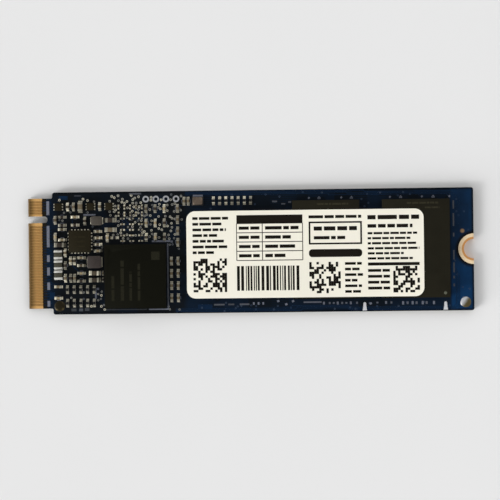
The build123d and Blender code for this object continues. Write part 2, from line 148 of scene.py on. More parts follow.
class PackageSettings(bpy.types.PropertyGroup):
    """Moulded packages."""

    controller: colour("Controller", "Moulding of the controller", 14, 14, 6)
    memory: colour("Memory", "Moulding of the memory packages", 32, 30, 21)
    chip: colour("Small chips", "Moulding of the power chip and small chips", 34, 30, 18)
    mark: colour("Laser marks", "Faint marks burnt into the mouldings", 35, 34, 24)
    edge: length("Package edge", "Rounding of a package's edges", 0.05)
    chip_edge: length("Chip edge", "Rounding of a small chip's edges", 0.03)
    ball_spread: share("Ball spread", "How far a ball bulges past its pad", 0.25)


class ChipSettings(bpy.types.PropertyGroup):
    """Chip capacitors and resistors, inductors and the crystal."""

    ceramic: colour("Ceramic", "Capacitor bodies, darker end", 44, 36, 28)
    ceramic_pale: colour("Pale ceramic", "Capacitor bodies, paler end", 168, 152, 118)
    ceramic_green: colour("Green ceramic", "Bodies of the wide capacitors", 30, 35, 29)
    glaze: colour("Glaze", "Black coat of a resistor", 16, 16, 18)
    alumina: colour("Alumina", "White body of a resistor", 205, 203, 196)
    coil: colour("Inductor", "Pressed iron of the inductors", 66, 60, 52)
    coil_dark: colour("Large inductor", "Pressed iron of the large inductor", 46, 38, 34)
    tub: colour("Crystal tub", "Ceramic of the crystal", 58, 54, 50)
    lid: colour("Crystal lid", "Metal lid of the crystal", 160, 142, 126)
    edge: length("Chip edge", "Rounding of a terminal's edges", 0.035)
    lean: angle("Lean", "Most that a chip part turns off square", 1.5)


class LabelSettings(bpy.types.PropertyGroup):
    """Paper label and its print."""

    paper: colour("Paper", "Cream paper", 244, 240, 225)
    ink: colour("Ink", "Black print", 24, 21, 17)
    ink_height: length("Ink height", "Thickness of the print, taken out of the sheet", 0.006)
    corner: length("Corner", "Radius of the label's corners", 1.6)


class StageSettings(bpy.types.PropertyGroup):
    """Floor, lamps and camera."""

    floor: colour("Floor", "Pale floor", 234, 234, 234)
    distance: length("Camera distance", "From the board to the camera", 300)
    view_width: length("View width", "Width of the picture at the board", 89.8)
    roll: angle("Roll", "Turn of the picture", -0.68)
    key: number("Key lamp", "Strength of the main soft lamp", 4.2, min=0)
    fill: number("Fill lamp", "Strength of the second soft lamp", 0.3, min=0)
    spread: angle("Spread", "How wide the lamps look, which softens the shadows", 30)
    room: number("Room", "Strength of the room's light", 1.9, min=0)


# Node trees and materials


def add(tree, kind, inputs=None, **settings):
    """A new node with its settings made and its inputs set or linked."""
    node = tree.nodes.new(kind)
    for key, value in settings.items():
        setattr(node, key, value)
    for key, value in (inputs or {}).items():
        socket = node.inputs[key]
        if isinstance(value, bpy.types.NodeSocket):
            tree.links.new(value, socket)
        else:
            socket.default_value = value
    return node


def darker(rgb, factor):
    """A colour with less or more light in it."""
    return tuple(min(1.0, value * factor) for value in rgb)


class Mixer:
    """A node tree and the nodes that work on its values."""

    def __init__(self, tree):
        self.tree = tree

    def node(self, kind, output, inputs=None, **settings):
        """One output of a new node."""
        return add(self.tree, kind, inputs, **settings).outputs[output]

    def axes(self, vector):
        """The parts of a vector, by name."""
        return add(self.tree, "ShaderNodeSeparateXYZ", {"Vector": vector}).outputs

    def work(self, operation, a, b=0.0):
        """One sum on two values."""
        return self.node("ShaderNodeMath", "Value", {0: a, 1: b}, operation=operation)

    def times(self, a, b):
        """The product of two values."""
        return self.work("MULTIPLY", a, b)

    def ease(self, value, low, high, start=0.0, end=1.0):
        """A value eased from start to end as it passes from low to high."""
        inputs = {"Value": value, "From Min": low, "From Max": high, "To Min": start, "To Max": end}
        return self.node("ShaderNodeMapRange", "Result", inputs, interpolation_type="SMOOTHSTEP")


class Skin(Mixer):
    """A new material, with its constants on the shader's own sockets."""

    def __init__(self, name, roughness, metallic=0.0, specular=0.5):
        self.material = bpy.data.materials.new(name)
        self.material.use_nodes = True
        super().__init__(self.material.node_tree)
        self.shader = self.tree.nodes["Principled BSDF"].inputs
        constants = {"Roughness": roughness, "Metallic": metallic, "Specular IOR Level": specular}
        for key, value in constants.items():
            self.shader[key].default_value = value
        self.where = self.place()

    def link(self, value, socket):
        """Lets a socket of the shader follow a value."""
        self.tree.links.new(value, self.shader[socket])

    def place(self, stretch=(1, 1, 1), centre=(0, 0, 0)):
        """The place on the piece in millimetres, stretched about a centre that is given in millimetres."""
        where = self.node("ShaderNodeTexCoord", "Object")
        scale = [value / MM for value in stretch]
        shift = [-c * s for c, s in zip(centre, stretch)]
        return self.node("ShaderNodeMapping", "Vector", {"Vector": where, "Scale": scale, "Location": shift})

    def distance(self, centre):
        """How far the place on the piece lies from an upright axis, in millimetres."""
        axes = self.axes(self.place(centre=(*centre, 0)))
        flat = self.node("ShaderNodeCombineXYZ", "Vector", {"X": axes["X"], "Y": axes["Y"]})
        return self.node("ShaderNodeVectorMath", "Value", {0: flat}, operation="LENGTH")

    def noise(self, scale, detail=3.0, rough=0.55, where=None):
        """A noise from 0 to 1, with a scale in lumps to the millimetre."""
        where = self.where if where is None else where
        inputs = {"Vector": where, "Scale": scale, "Detail": detail, "Roughness": rough}
        return self.node("ShaderNodeTexNoise", "Fac", inputs)

    def tone(self):
        """The tone that each part carries from its place."""
        return self.node("ShaderNodeAttribute", "Fac", attribute_name="tone", attribute_type="GEOMETRY")

    def blend(self, share_of_second, first, second):
        """Two colours mixed. A plain colour has three parts."""
        first, second = (c if isinstance(c, bpy.types.NodeSocket) else (*c, 1) for c in (first, second))
        return self.node("ShaderNodeMix", 2, {0: share_of_second, 6: first, 7: second}, data_type="RGBA")

    def fade(self, value, low, high, first, second, most=1.0):
        """A colour that turns into another as a value passes from low to high."""
        return self.blend(self.ease(value, low, high, 0.0, most), first, second)

    def done(self, paint, height, depth, wear=None, low=0.0, high=1.0):
        """The material with its colour, bumps of a depth in millimetres and roughness that follows wear."""
        self.link(paint, "Base Color")
        inputs = {"Height": height, "Distance": depth * MM, "Strength": 1.0}
        self.link(self.node("ShaderNodeBump", "Normal", inputs), "Normal")
        if wear is not None:
            inputs = {"Value": wear, "To Min": low, "To Max": high}
            self.link(self.node("ShaderNodeMapRange", "Result", inputs), "Roughness")
        return self.material


def mask_material(board):
    """Blue mask over copper planes and runs, laminate at the edges, a bare strip under the contacts."""
    skin = Skin("solder_mask", 0.32, specular=0.15)
    axes = skin.axes(skin.where)
    x, y = axes["X"], axes["Y"]
    upward = skin.axes(skin.node("ShaderNodeTexCoord", "Normal"))["Z"]
    side = board_high.y / MM
    end = board_high.x / MM
    tip = board_low.x / MM
    bare_end = contact_high.x / MM - 0.05

    # Copper planes and runs that show through
    inputs = {"Vector": skin.where, "Scale": 0.2, "Randomness": 0.9}
    cells = skin.node("ShaderNodeTexVoronoi", "Color", inputs, distance="CHEBYCHEV")
    cell_tone = skin.node("ShaderNodeSeparateColor", "Red", {"Color": cells})
    inputs = {"Vector": skin.place((0.02, 1, 1)), "Scale": 0.9, "Distortion": 0.0}
    stripes = skin.node("ShaderNodeTexWave", "Fac", inputs, bands_direction="Y")
    runs = skin.times(skin.ease(stripes, 0.62, 0.74), skin.ease(cell_tone, 0.3, 0.2))
    end_plane = skin.ease(x, 35.6, 36.2)
    copper = skin.work("MAXIMUM", skin.times(skin.ease(cell_tone, 0.45, 0.5), 0.28), skin.times(runs, 0.3))
    copper = skin.work("MAXIMUM", copper, end_plane)
    lower = skin.times(end_plane, skin.ease(y, -1.0, -4.0))
    lacquer = skin.blend(copper, board.mask, skin.blend(lower, board.pour, board.plane))
    lacquer = skin.fade(skin.noise(0.35, 2.0), 0.3, 0.75, lacquer, darker(board.mask, 0.6), 0.35)

    # Painted shade between the crowded parts, dark along the edges and round the screw land
    crowd_shade_mask = skin.times(skin.ease(x, -35.8, -34.8), skin.ease(x, -12.4, -11.0, 1.0, 0.0))
    crowd_shade_mask = skin.times(crowd_shade_mask, skin.ease(skin.noise(0.22, 1.0), 0.36, 0.5, 0.25, 0.85))
    lacquer = skin.blend(crowd_shade_mask, lacquer, board.crowd_shade)
    margin = skin.ease(skin.work("ABSOLUTE", y), side - 0.5, side - 0.2)
    margin = skin.work("MAXIMUM", margin, skin.ease(x, end - 0.5, end - 0.2))
    lacquer = skin.blend(skin.times(margin, 0.8), lacquer, darker(board.mask, 0.35))
    halo = skin.ease(skin.distance((end, 0)), 2.9, 3.5, 0.95, 0.0)
    lacquer = skin.blend(halo, lacquer, darker(board.fringe, 0.3))
    spot = skin.ease(skin.distance((38.0, 3.22)), 0.2, 0.5, 0.4, 0.0)
    lacquer = skin.blend(spot, lacquer, board.bare)

    # Vias on the underside
    inputs = {"Vector": skin.where, "Scale": 0.4}
    dots = skin.node("ShaderNodeTexVoronoi", "Distance", inputs, voronoi_dimensions="2D")
    below = skin.times(skin.ease(upward, -0.5, -0.8), skin.ease(x, -34.4, -34.0))
    lacquer = skin.blend(skin.times(below, skin.ease(dots, 0.085, 0.07)), lacquer, darker(board.pour, 1.8))
    lacquer = skin.blend(skin.times(below, skin.ease(dots, 0.04, 0.03)), lacquer, darker(board.mask, 0.4))

    # Layers at the cut edges, and the bare strip between the contacts
    inputs = {"Vector": skin.where, "Scale": 1.6, "Distortion": 0.3}
    layers = skin.node("ShaderNodeTexWave", "Fac", inputs, bands_direction="Z")
    edge = skin.fade(layers, 0.3, 0.8, board.laminate, darker(board.laminate, 0.45))
    weave = skin.noise(5.0, where=skin.place((1, 1, 6)))
    edge = skin.blend(skin.times(weave, 0.5), edge, darker(board.laminate, 1.5))
    bare = skin.blend(skin.noise(4.0), board.bare, darker(board.bare, 0.7))
    # Painted shade: the bare strip darkens towards the card edge
    bare = skin.blend(skin.ease(x, tip, tip + 1.5, 0.95, 0.0), bare, darker(board.bare, 0.16))
    lacquer = skin.fade(x, bare_end + 0.55, bare_end + 0.9, board.fringe, lacquer)
    faces = skin.fade(x, bare_end - 0.03, bare_end, bare, lacquer)
    paint = skin.fade(skin.work("ABSOLUTE", upward), 0.5, 0.8, edge, faces)
    height = skin.work("ADD", skin.times(copper, 0.7), skin.times(skin.noise(9.0), 0.3))
    return skin.done(paint, height, 0.01, skin.noise(1.2), 0.26, 0.42)


def run_material(board):
    """Mask that a copper run lifts: a little bluer than the rest."""
    skin = Skin("mask_over_runs", 0.3, specular=0.18)
    lifted = skin.blend(skin.noise(0.8), board.pour, darker(board.pour, 0.55))
    return skin.done(lifted, skin.noise(12.0), 0.004)


def silk_material(board):
    """Pale ink of the board's outlines, each mark with its own strength."""
    skin = Skin("board_print", 0.6, specular=0.2)
    ink = skin.blend(skin.tone(), board.silk_dim, board.silk)
    return skin.done(skin.fade(skin.noise(5.0, 4.0), 0.5, 0.8, ink, board.mask, 0.7), skin.noise(18.0), 0.003)


def via_material(board, metal):
    """Vias: most lie under the mask, some are bare tin."""
    skin = Skin("via_tin", 0.45, specular=0.25)
    tone = skin.tone()
    skin.link(skin.times(tone, 0.6), "Metallic")
    return skin.done(skin.blend(tone, darker(board.pour, 1.3), metal.tin), skin.noise(9.0), 0.004)


def print_material(name, rgb, thin, specular=0.2):
    """Printed marks with a broken edge and thin patches."""
    skin = Skin(name, 0.6, specular=specular)
    return skin.done(skin.fade(skin.noise(7.0, 4.0), 0.45, 0.75, rgb, thin), skin.noise(18.0), 0.003)


def gold_material(metal):
    """Hard gold, wiped lengthwise by insertion, with painted shade that darkens it towards the card edge."""
    skin = Skin("contact_gold", 0.34, metallic=0.85)
    x = skin.axes(skin.where)["X"]
    start = contact_low.x / MM
    end = contact_high.x / MM
    wiped = skin.noise(2.0, 4.0, where=skin.place((0.5, 9, 9)))
    wear_and_tip_shade = skin.fade(wiped, 0.35, 0.75, metal.gold, darker(metal.gold, 0.8))
    # Painted shade: the gold darkens towards the card edge
    wear_and_tip_shade = skin.blend(skin.ease(x, start, start + 1.2, 0.95, 0.0), wear_and_tip_shade, darker(metal.gold, 0.16))
    wear_and_tip_shade = skin.fade(x, end - 0.2, end - 0.04, wear_and_tip_shade, darker(metal.gold, 0.04), 0.95)
    return skin.done(wear_and_tip_shade, wiped, 0.004, wiped, 0.28, 0.48)


def land_material(metal):
    """Plating round the screw notch, bronze on its inner rim, partly from wear by a screw head and partly as
    painted shade where the rim slopes into the notch.
    """
    skin = Skin("land_gold", 0.42, metallic=0.1)
    radius = skin.distance((land_high.x / MM, (land_low.y + land_high.y) / 2 / MM))
    ripple = skin.noise(2.5, 4.0)
    plate = skin.fade(ripple, 0.4, 0.8, metal.land, darker(metal.land, 0.78))
    radius = skin.work("ADD", radius, skin.times(ripple, 0.15))
    # Bronze inner rim: partly wear, partly painted shade of the rim's slope into the notch
    rim_start, rim_end = 2.12, 2.27
    plate = skin.fade(radius, rim_start, rim_end, metal.rim_wear_and_shade, plate)
    return skin.done(plate, skin.noise(7.0), 0.008, ripple, 0.34, 0.55)


def tin_material(name, rgb, low, high, lumps):
    """Dull tin or solder with a grainy, faintly stained skin."""
    skin = Skin(name, low, metallic=1.0)
    grain = skin.noise(lumps, 4.0)
    stained = skin.fade(skin.noise(1.1), 0.4, 0.75, rgb, darker(rgb, 0.62))
    return skin.done(skin.fade(grain, 0.55, 0.8, stained, darker(rgb, 0.8)), grain, 0.006, grain, low, high)


def terminal_material(rgb):
    """Tinned ends and solder, bright on some parts and dull on others."""
    skin = Skin("terminal_tin", 0.4, metallic=0.76)
    grain = skin.noise(9.0, 4.0)
    chance = skin.work("FRACT", skin.times(skin.tone(), 7.3))
    stained = skin.fade(chance, 0.0, 0.6, darker(rgb, 0.36), rgb)
    stained = skin.fade(skin.noise(1.1), 0.45, 0.75, stained, darker(rgb, 0.45))
    return skin.done(skin.fade(grain, 0.55, 0.8, stained, darker(rgb, 0.7)), grain, 0.006, grain, 0.28, 0.5)


def pad_material(name, rgb):
    """Bright tin of bare pads."""
    skin = Skin(name, 0.4, metallic=0.35)
    grain = skin.noise(5.0, 4.0)
    return skin.done(skin.fade(grain, 0.45, 0.8, rgb, darker(rgb, 0.7)), grain, 0.006, grain, 0.3, 0.5)


def dome_material(metal, centre):
    """Solder domes whose light is painted: the left one dark olive, as a painted dark reflection, the right
    one with a painted bright reflection on one side, olive shade on the other and a painted dark rim.
    """
    skin = Skin("corner_solder", 0.3, metallic=0.6)
    axes = skin.axes(skin.where)
    ripple = skin.noise(1.6, 4.0)
    # Painted dark reflection over the whole left dome, in olive patches
    dull = skin.fade(ripple, 0.5, 0.75, darker(metal.flux_and_dark_reflection, 0.18), darker(metal.flux_and_dark_reflection, 0.7))
    # Painted bright reflection on one side of the right dome, olive shade on the other
    slant = skin.work("SUBTRACT", axes["X"], skin.times(axes["Y"], 0.7))
    slant = skin.work("ADD", slant, skin.times(ripple, 0.6))
    middle = centre[0] - 0.7 * centre[1] + 0.3
    bright = skin.fade(slant, middle - 0.7, middle + 0.35, metal.pad, metal.flux_and_dark_reflection)
    # Painted dark rim round the right dome
    bright = skin.fade(skin.distance(centre), 0.75, 1.0, bright, darker(metal.flux_and_dark_reflection, 0.2), 0.6)
    return skin.done(skin.fade(axes["X"], -1.0, 1.0, dull, bright), skin.noise(4.0), 0.012, ripple, 0.2, 0.5)


def epoxy_material(name, rgb, rough=0.62):
    """Black moulding compound: a fine sparkle of filler and a soft pitted skin."""
    skin = Skin(name, rough, specular=0.07)
    filler = skin.noise(22.0, 2.0)
    body = skin.fade(filler, 0.6, 0.75, rgb, darker(rgb, 1.7))
    body = skin.fade(skin.noise(0.4), 0.35, 0.8, body, darker(rgb, 0.65), 0.5)
    return skin.done(body, filler, 0.006, skin.noise(3.0), rough - 0.08, rough + 0.1)


def ceramic_material(name, dark, pale):
    """Fired ceramic whose tone differs from one part to the next."""
    skin = Skin(name, 0.45, specular=0.4)
    grain = skin.noise(14.0)
    body = skin.blend(skin.tone(), dark, pale)
    body = skin.fade(grain, 0.5, 0.8, body, darker(dark, 0.7), 0.6)
    return skin.done(body, grain, 0.005, grain, 0.38, 0.58)


def resistor_material(chips, top):
    """White body with a black glass coat on its upper face, each with its own scuffs."""
    skin = Skin("resistor_glaze", 0.3)
    grain = skin.noise(10.0)
    coat = skin.fade(grain, 0.5, 0.8, chips.glaze, darker(chips.glaze, 2.5))
    base = skin.blend(grain, chips.alumina, darker(chips.alumina, 0.7))
    body = skin.fade(skin.axes(skin.where)["Z"], top / MM - 0.05, top / MM - 0.03, base, coat)
    return skin.done(body, grain, 0.004, grain, 0.22, 0.45)


def coil_material(name, rgb):
    """Pressed iron powder: grey-brown with metallic specks."""
    skin = Skin(name, 0.55, specular=0.4)
    specks = skin.node("ShaderNodeTexVoronoi", "Distance", {"Vector": skin.where, "Scale": 16.0})
    cloud = skin.noise(1.5)
    body = skin.fade(specks, 0.2, 0.45, darker(rgb, 1.35), rgb)
    body = skin.fade(cloud, 0.4, 0.8, body, darker(rgb, 0.6), 0.6)
    return skin.done(body, specks, 0.012, cloud, 0.45, 0.65)


def paper_material(label):
    """Cream paper with a faint fibre and broad soft patches of painted shade that stand for a waviness of the
    sheet.
    """
    skin = Skin("label_paper", 0.6, specular=0.25)
    fibre = skin.noise(3.0, 5.0, 0.65, skin.place((1, 2.5, 1)))
    sheet = skin.fade(fibre, 0.5, 0.8, label.paper, darker(label.paper, 0.9), 0.5)
    # Painted shade: broad soft darker patches for a wavy sheet
    sheet = skin.fade(skin.noise(0.12, 2.0), 0.4, 0.7, sheet, darker(label.paper, 0.94), 0.6)
    return skin.done(sheet, fibre, 0.004)


# Meshes


def bevel(shape, edges, offset, segments, clamp=True):
    """Rounds some edges of a shape."""
    bmesh.ops.bevel(
        shape, geom=edges, offset=offset, segments=segments, profile=0.5, affect="EDGES", clamp_overlap=clamp
    )


def walls(shape, lower, upper):
    """Faces from one closed ring of points to another."""
    for n in range(len(lower)):
        m = (n + 1) % len(lower)
        shape.faces.new((lower[n], lower[m], upper[m], upper[n]))


def block(size, edge, segments=2, centre=(0, 0, 0)):
    """A box with rounded edges that stands on its centre's height."""
    shape = bmesh.new()
    bmesh.ops.create_cube(shape, size=1.0)
    for vert in shape.verts:
        raised = (vert.co.x, vert.co.y, vert.co.z + 0.5)
        vert.co = Vector(value * side + shift for value, side, shift in zip(raised, size, centre))
    if edge:
        bevel(shape, shape.edges[:], edge, segments)
    return shape


def prism(outline, low, high):
    """An upright prism on an outline of points that runs anticlockwise."""
    shape = bmesh.new()
    lower = [shape.verts.new((x, y, low)) for x, y in outline]
    upper = [shape.verts.new((x, y, high)) for x, y in outline]
    shape.faces.new(lower[::-1])
    shape.faces.new(upper)
    walls(shape, lower, upper)
    return shape


def arc(centre, radius, start, turn, steps):
    """Points along an arc, with its angles in degrees."""
    angles = [math.radians(start + turn * n / steps) for n in range(steps + 1)]
    return [(centre[0] + radius * math.cos(a), centre[1] + radius * math.sin(a)) for a in angles]


def rounded(low, high, corner, steps=8):
    """Outline of a rectangle with round corners, anticlockwise."""
    left, right = low[0] + corner, high[0] - corner
    lower, upper = low[1] + corner, high[1] - corner
    centres = ((right, upper), (left, upper), (left, lower), (right, lower))
    return [point for n, centre in enumerate(centres) for point in arc(centre, corner, 90 * n, 90, steps)]


def hoop(outer, inner, height, sides):
    """A flat ring that stands on the origin."""
    shape = bmesh.new()
    rings = []
    for radius, z in ((outer, 0), (outer, height), (inner, height), (inner, 0)):
        rings.append([shape.verts.new((x, y, z)) for x, y in arc((0, 0), radius, 0, 360, sides)[:-1]])
    for a, b in zip(rings, rings[1:] + rings[:1]):
        walls(shape, a, b)
    return shape


def join(shapes):
    """Several shapes as one, with their faces turned outwards."""
    whole = bmesh.new()
    for shape in shapes:
        part = bpy.data.meshes.new("part")
        shape.to_mesh(part)
        shape.free()
        whole.from_mesh(part)
        bpy.data.meshes.remove(part)
    bmesh.ops.recalc_face_normals(whole, faces=whole.faces[:])
    return whole


def merged(node):
    """A merged copy of a CAD node's loose triangles."""
    shape = bmesh.new()
    shape.from_mesh(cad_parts[node].data)
    bmesh.ops.remove_doubles(shape, verts=shape.verts[:], dist=MERGE)
    return shape


def softened(node, edge, segments=3):
    """A merged copy of a CAD node with its sharp edges rounded."""
    shape = merged(node)
    bmesh.ops.dissolve_limit(
        shape,
        angle_limit=math.radians(1),
        verts=shape.verts[:],
        edges=shape.edges[:],
        use_dissolve_boundaries=False,
    )
    sharp = [e for e in shape.edges if len(e.link_faces) == 2 and e.calc_face_angle() > SHARP]
    bevel(shape, sharp, edge, segments)
    return shape


def islands(node):
    """Lowest and highest corner of every loose solid in a CAD node."""
    shape = merged(node)
    boxes = []
    seen = set()
    for first in shape.verts:
        if first in seen:
            continue
        seen.add(first)
        group = [first]
        for vert in group:
            for edge in vert.link_edges:
                other = edge.other_vert(vert)
                if other not in seen:
                    seen.add(other)
                    group.append(other)
        low = Vector(min(v.co[axis] for v in group) for axis in range(3))
        high = Vector(max(v.co[axis] for v in group) for axis in range(3))
        boxes.append((low, high))
    shape.free()
    return boxes


def smooth(mesh):
    """Smooth shading with crisp edges."""
    mesh.polygons.foreach_set("use_smooth", [True] * len(mesh.polygons))
    mesh.set_sharp_from_angle(angle=SHARP)


def make(name, shape, material):
    """An object at the origin from a shape, which is used up."""
    mesh = bpy.data.meshes.new(name)
    shape.to_mesh(mesh)
    shape.free()
    mesh.materials.append(material)
    smooth(mesh)
    piece = bpy.data.objects.new(name, mesh)
    bpy.context.scene.collection.objects.link(piece)
    return piece


def settle(piece, slot, *nodes):
    """The finished piece rides on the drive and hides the CAD nodes that it stands for; its slot is not used.
    """
    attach(piece, "root")
    if nodes:
        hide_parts(*nodes)
    return piece


def recast(name, node, edge, material, slot, segments=3):
    """A CAD node with its sharp edges rounded, as a finished piece."""
    return settle(make(name, softened(node, edge, segments), material), slot, node)


# Geometry node trees


def new_tree(name, **inputs):
    """An empty tree with named inputs: its mixer, and the sockets at its two ends."""
    tree = bpy.data.node_groups.new(name, "GeometryNodeTree")
    for label, kind in {"Geometry": "Geometry", **inputs}.items():
        tree.interface.new_socket(label, in_out="INPUT", socket_type=f"NodeSocket{kind}")
    tree.interface.new_socket("Geometry", in_out="OUTPUT", socket_type="NodeSocketGeometry")
    return Mixer(tree), tree.nodes.new("NodeGroupInput").outputs, tree.nodes.new("NodeGroupOutput").inputs


def close_tree(mixer, geometry, material, output):
    """Ends a tree: real meshes with one material."""
    real = mixer.node("GeometryNodeRealizeInstances", "Geometry", {"Geometry": geometry})
    dressed = mixer.node("GeometryNodeSetMaterial", "Geometry", {"Geometry": real, "Material": material})
    mixer.tree.links.new(dressed, output["Geometry"])
    return mixer.tree


def placing_tree():
    """Sets one part on every place, turned and sized as the place says and a little off square."""
    mixer, given, output = new_tree("set_parts", Part="Object", Lean="Float", Seed="Int", Finish="Material")
    named = "GeometryNodeInputNamedAttribute"
    turn = mixer.node(named, "Attribute", {"Name": "turn"}, data_type="FLOAT")
    size = mixer.node(named, "Attribute", {"Name": "size"}, data_type="FLOAT_VECTOR")
    chance = add(mixer.tree, "FunctionNodeRandomValue", {"Seed": given["Seed"]}, data_type="FLOAT")
    for label, value in (("Min", mixer.times(given["Lean"], -1.0)), ("Max", given["Lean"])):
        socket = next(item for item in chance.inputs if item.name == label and item.type == "VALUE")
        mixer.tree.links.new(value, socket)
    drawn = next(item for item in chance.outputs if item.type == "VALUE")
    euler = mixer.node("ShaderNodeCombineXYZ", "Vector", {"Z": mixer.work("ADD", turn, drawn)})
    rotation = mixer.node("FunctionNodeEulerToRotation", "Rotation", {"Euler": euler})
    part = mixer.node("GeometryNodeObjectInfo", "Geometry", {"Object": given["Part"]})
    inputs = {"Points": given["Geometry"], "Instance": part, "Rotation": rotation, "Scale": size}
    parts = mixer.node("GeometryNodeInstanceOnPoints", "Instances", inputs)
    return close_tree(mixer, parts, given["Finish"], output)


def ball_tree():
    """Squashed solder balls on their places."""
    mixer, given, output = new_tree(
        "solder_balls", Radius="Float", Flatness="Float", Segments="Int", Rings="Int", Finish="Material"
    )
    inputs = {key: given[key] for key in ("Segments", "Rings", "Radius")}
    ball = mixer.node("GeometryNodeMeshUVSphere", "Mesh", inputs)
    squash = mixer.node("ShaderNodeCombineXYZ", "Vector", {"X": 1.0, "Y": 1.0, "Z": given["Flatness"]})
    flat = mixer.node("GeometryNodeTransform", "Geometry", {"Geometry": ball, "Scale": squash})
    inputs = {"Points": given["Geometry"], "Instance": flat}
    balls = mixer.node("GeometryNodeInstanceOnPoints", "Instances", inputs)
    return close_tree(mixer, balls, given["Finish"], output)


def run_tree():
    """Flat strips that follow the edges of a mesh, for copper runs."""
    mixer, given, output = new_tree("flat_runs", Width="Float", Height="Float", Finish="Material")
    path = mixer.node("GeometryNodeMeshToCurve", "Curve", {"Mesh": given["Geometry"]})
    level = mixer.node("GeometryNodeSetCurveNormal", "Curve", {"Curve": path}, mode="Z_UP")
    inputs = {"Width": given["Width"], "Height": given["Height"]}
    profile = mixer.node("GeometryNodeCurvePrimitiveQuadrilateral", "Curve", inputs)
    inputs = {"Curve": level, "Profile Curve": profile, "Fill Caps": True}
    strips = mixer.node("GeometryNodeCurveToMesh", "Mesh", inputs)
    return close_tree(mixer, strips, given["Finish"], output)


def places_mesh(places):
    """Loose points that carry each place's turn, size and tone."""
    mesh = bpy.data.meshes.new("places")
    mesh.from_pydata([place.point for place in places], [], [])
    for key, kind, field, values in (
        ("turn", "FLOAT", "value", [place.turn for place in places]),
        ("tone", "FLOAT", "value", [place.tone for place in places]),
        ("size", "FLOAT_VECTOR", "vector", [value for place in places for value in place.size]),
    ):
        mesh.attributes.new(key, kind, "POINT").data.foreach_set(field, values)
    return mesh


def grow(name, mesh, tree, **values):
    """Runs a tree on a mesh and keeps what it makes as a plain mesh."""
    piece = bpy.data.objects.new(name, mesh)
    modifier = piece.modifiers.new(tree.name, "NODES")
    modifier.node_group = tree
    for item in tree.interface.items_tree:
        if item.item_type == "SOCKET" and item.in_out == "INPUT" and item.name in values:
            modifier[item.identifier] = values[item.name]
    bpy.context.scene.collection.objects.link(piece)
    graph = bpy.context.evaluated_depsgraph_get()
    grown = bpy.data.meshes.new_from_object(
        piece.evaluated_get(graph), preserve_all_data_layers=True, depsgraph=graph
    )
    piece.modifiers.remove(modifier)
    piece.data = grown
    grown.name = name
    bpy.data.meshes.remove(mesh)
    for key in ("turn", "size"):
        if key in grown.attributes:
            grown.attributes.remove(grown.attributes[key])
    if not grown.polygons:
        raise RuntimeError(f"{name} came out empty")
    smooth(grown)
    return piece


def set_parts(name, shape, places, material, lean=0.0, seed=1):
    """Copies of one shape on every place, as one piece."""
    part = make("part", shape, material)
    tree = bpy.data.node_groups.get("set_parts") or placing_tree()
    piece = grow(name, places_mesh(places), tree, Part=part, Lean=lean, Seed=seed, Finish=material)
    bpy.data.objects.remove(part)
    return piece


def lay_runs(name, paths, width, height, material):
    """Flat strips along paths of points, as one piece."""
    points = []
    edges = []
    for path in paths:
        first = len(points)
        points.append(path[0])
        points += [b for a, b in zip(path, path[1:]) if (Vector(b) - Vector(a)).length > MERGE]
        edges += [(n, n + 1) for n in range(first, len(points) - 1)]
    mesh = bpy.data.meshes.new("paths")
    mesh.from_pydata(points, edges, [])
    tree = bpy.data.node_groups.get("flat_runs") or run_tree()
    return grow(name, mesh, tree, Width=width, Height=height, Finish=material)


# What lies on the board, in millimetres


def occupied():
    """Boxes of everything that stands on the board, so that small marks can keep clear of it."""
    skip = {"circuit_board", "label_sheet", "upper_contacts", "lower_contacts", *BALLS}
    return [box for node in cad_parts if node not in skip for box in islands(node)]


def clear_of(boxes, x, y, room):
    """Whether a round spot on the board keeps clear of every box."""
    return not any(
        low.x - room < x < high.x + room and low.y - room < y < high.y + room for low, high in boxes
    )


def bar(x, y, long, wide, z, thick, turn=0.0, tone=0.5):
    """The place of a flat bar, in millimetres on the board."""
    return Place((x * MM, y * MM, z), turn, (long * MM, wide * MM, thick), tone)


def lay_bars(name, places, material, slot):
    """Flat bars on their places, as one finished piece."""
    return settle(set_parts(name, block((1, 1, 1), 0), places, material), slot)


def strokes(rng, x, y, long, tall, z, thick, upright=False):
    """Places of plain bars that stand for the words of a line of small print."""
    places = []
    reach = 0.0
    while reach < long:
        across = min(rng.uniform(0.9, 3.4) * tall, long - reach)
        u = reach + across / 2
        if upright:
            places.append(bar(x, y + u, 0.66 * tall, across, z, thick))
        else:
            places.append(bar(x + u, y, across, 0.66 * tall, z, thick))
        reach += across + 0.32 * tall
    return places


# Operators


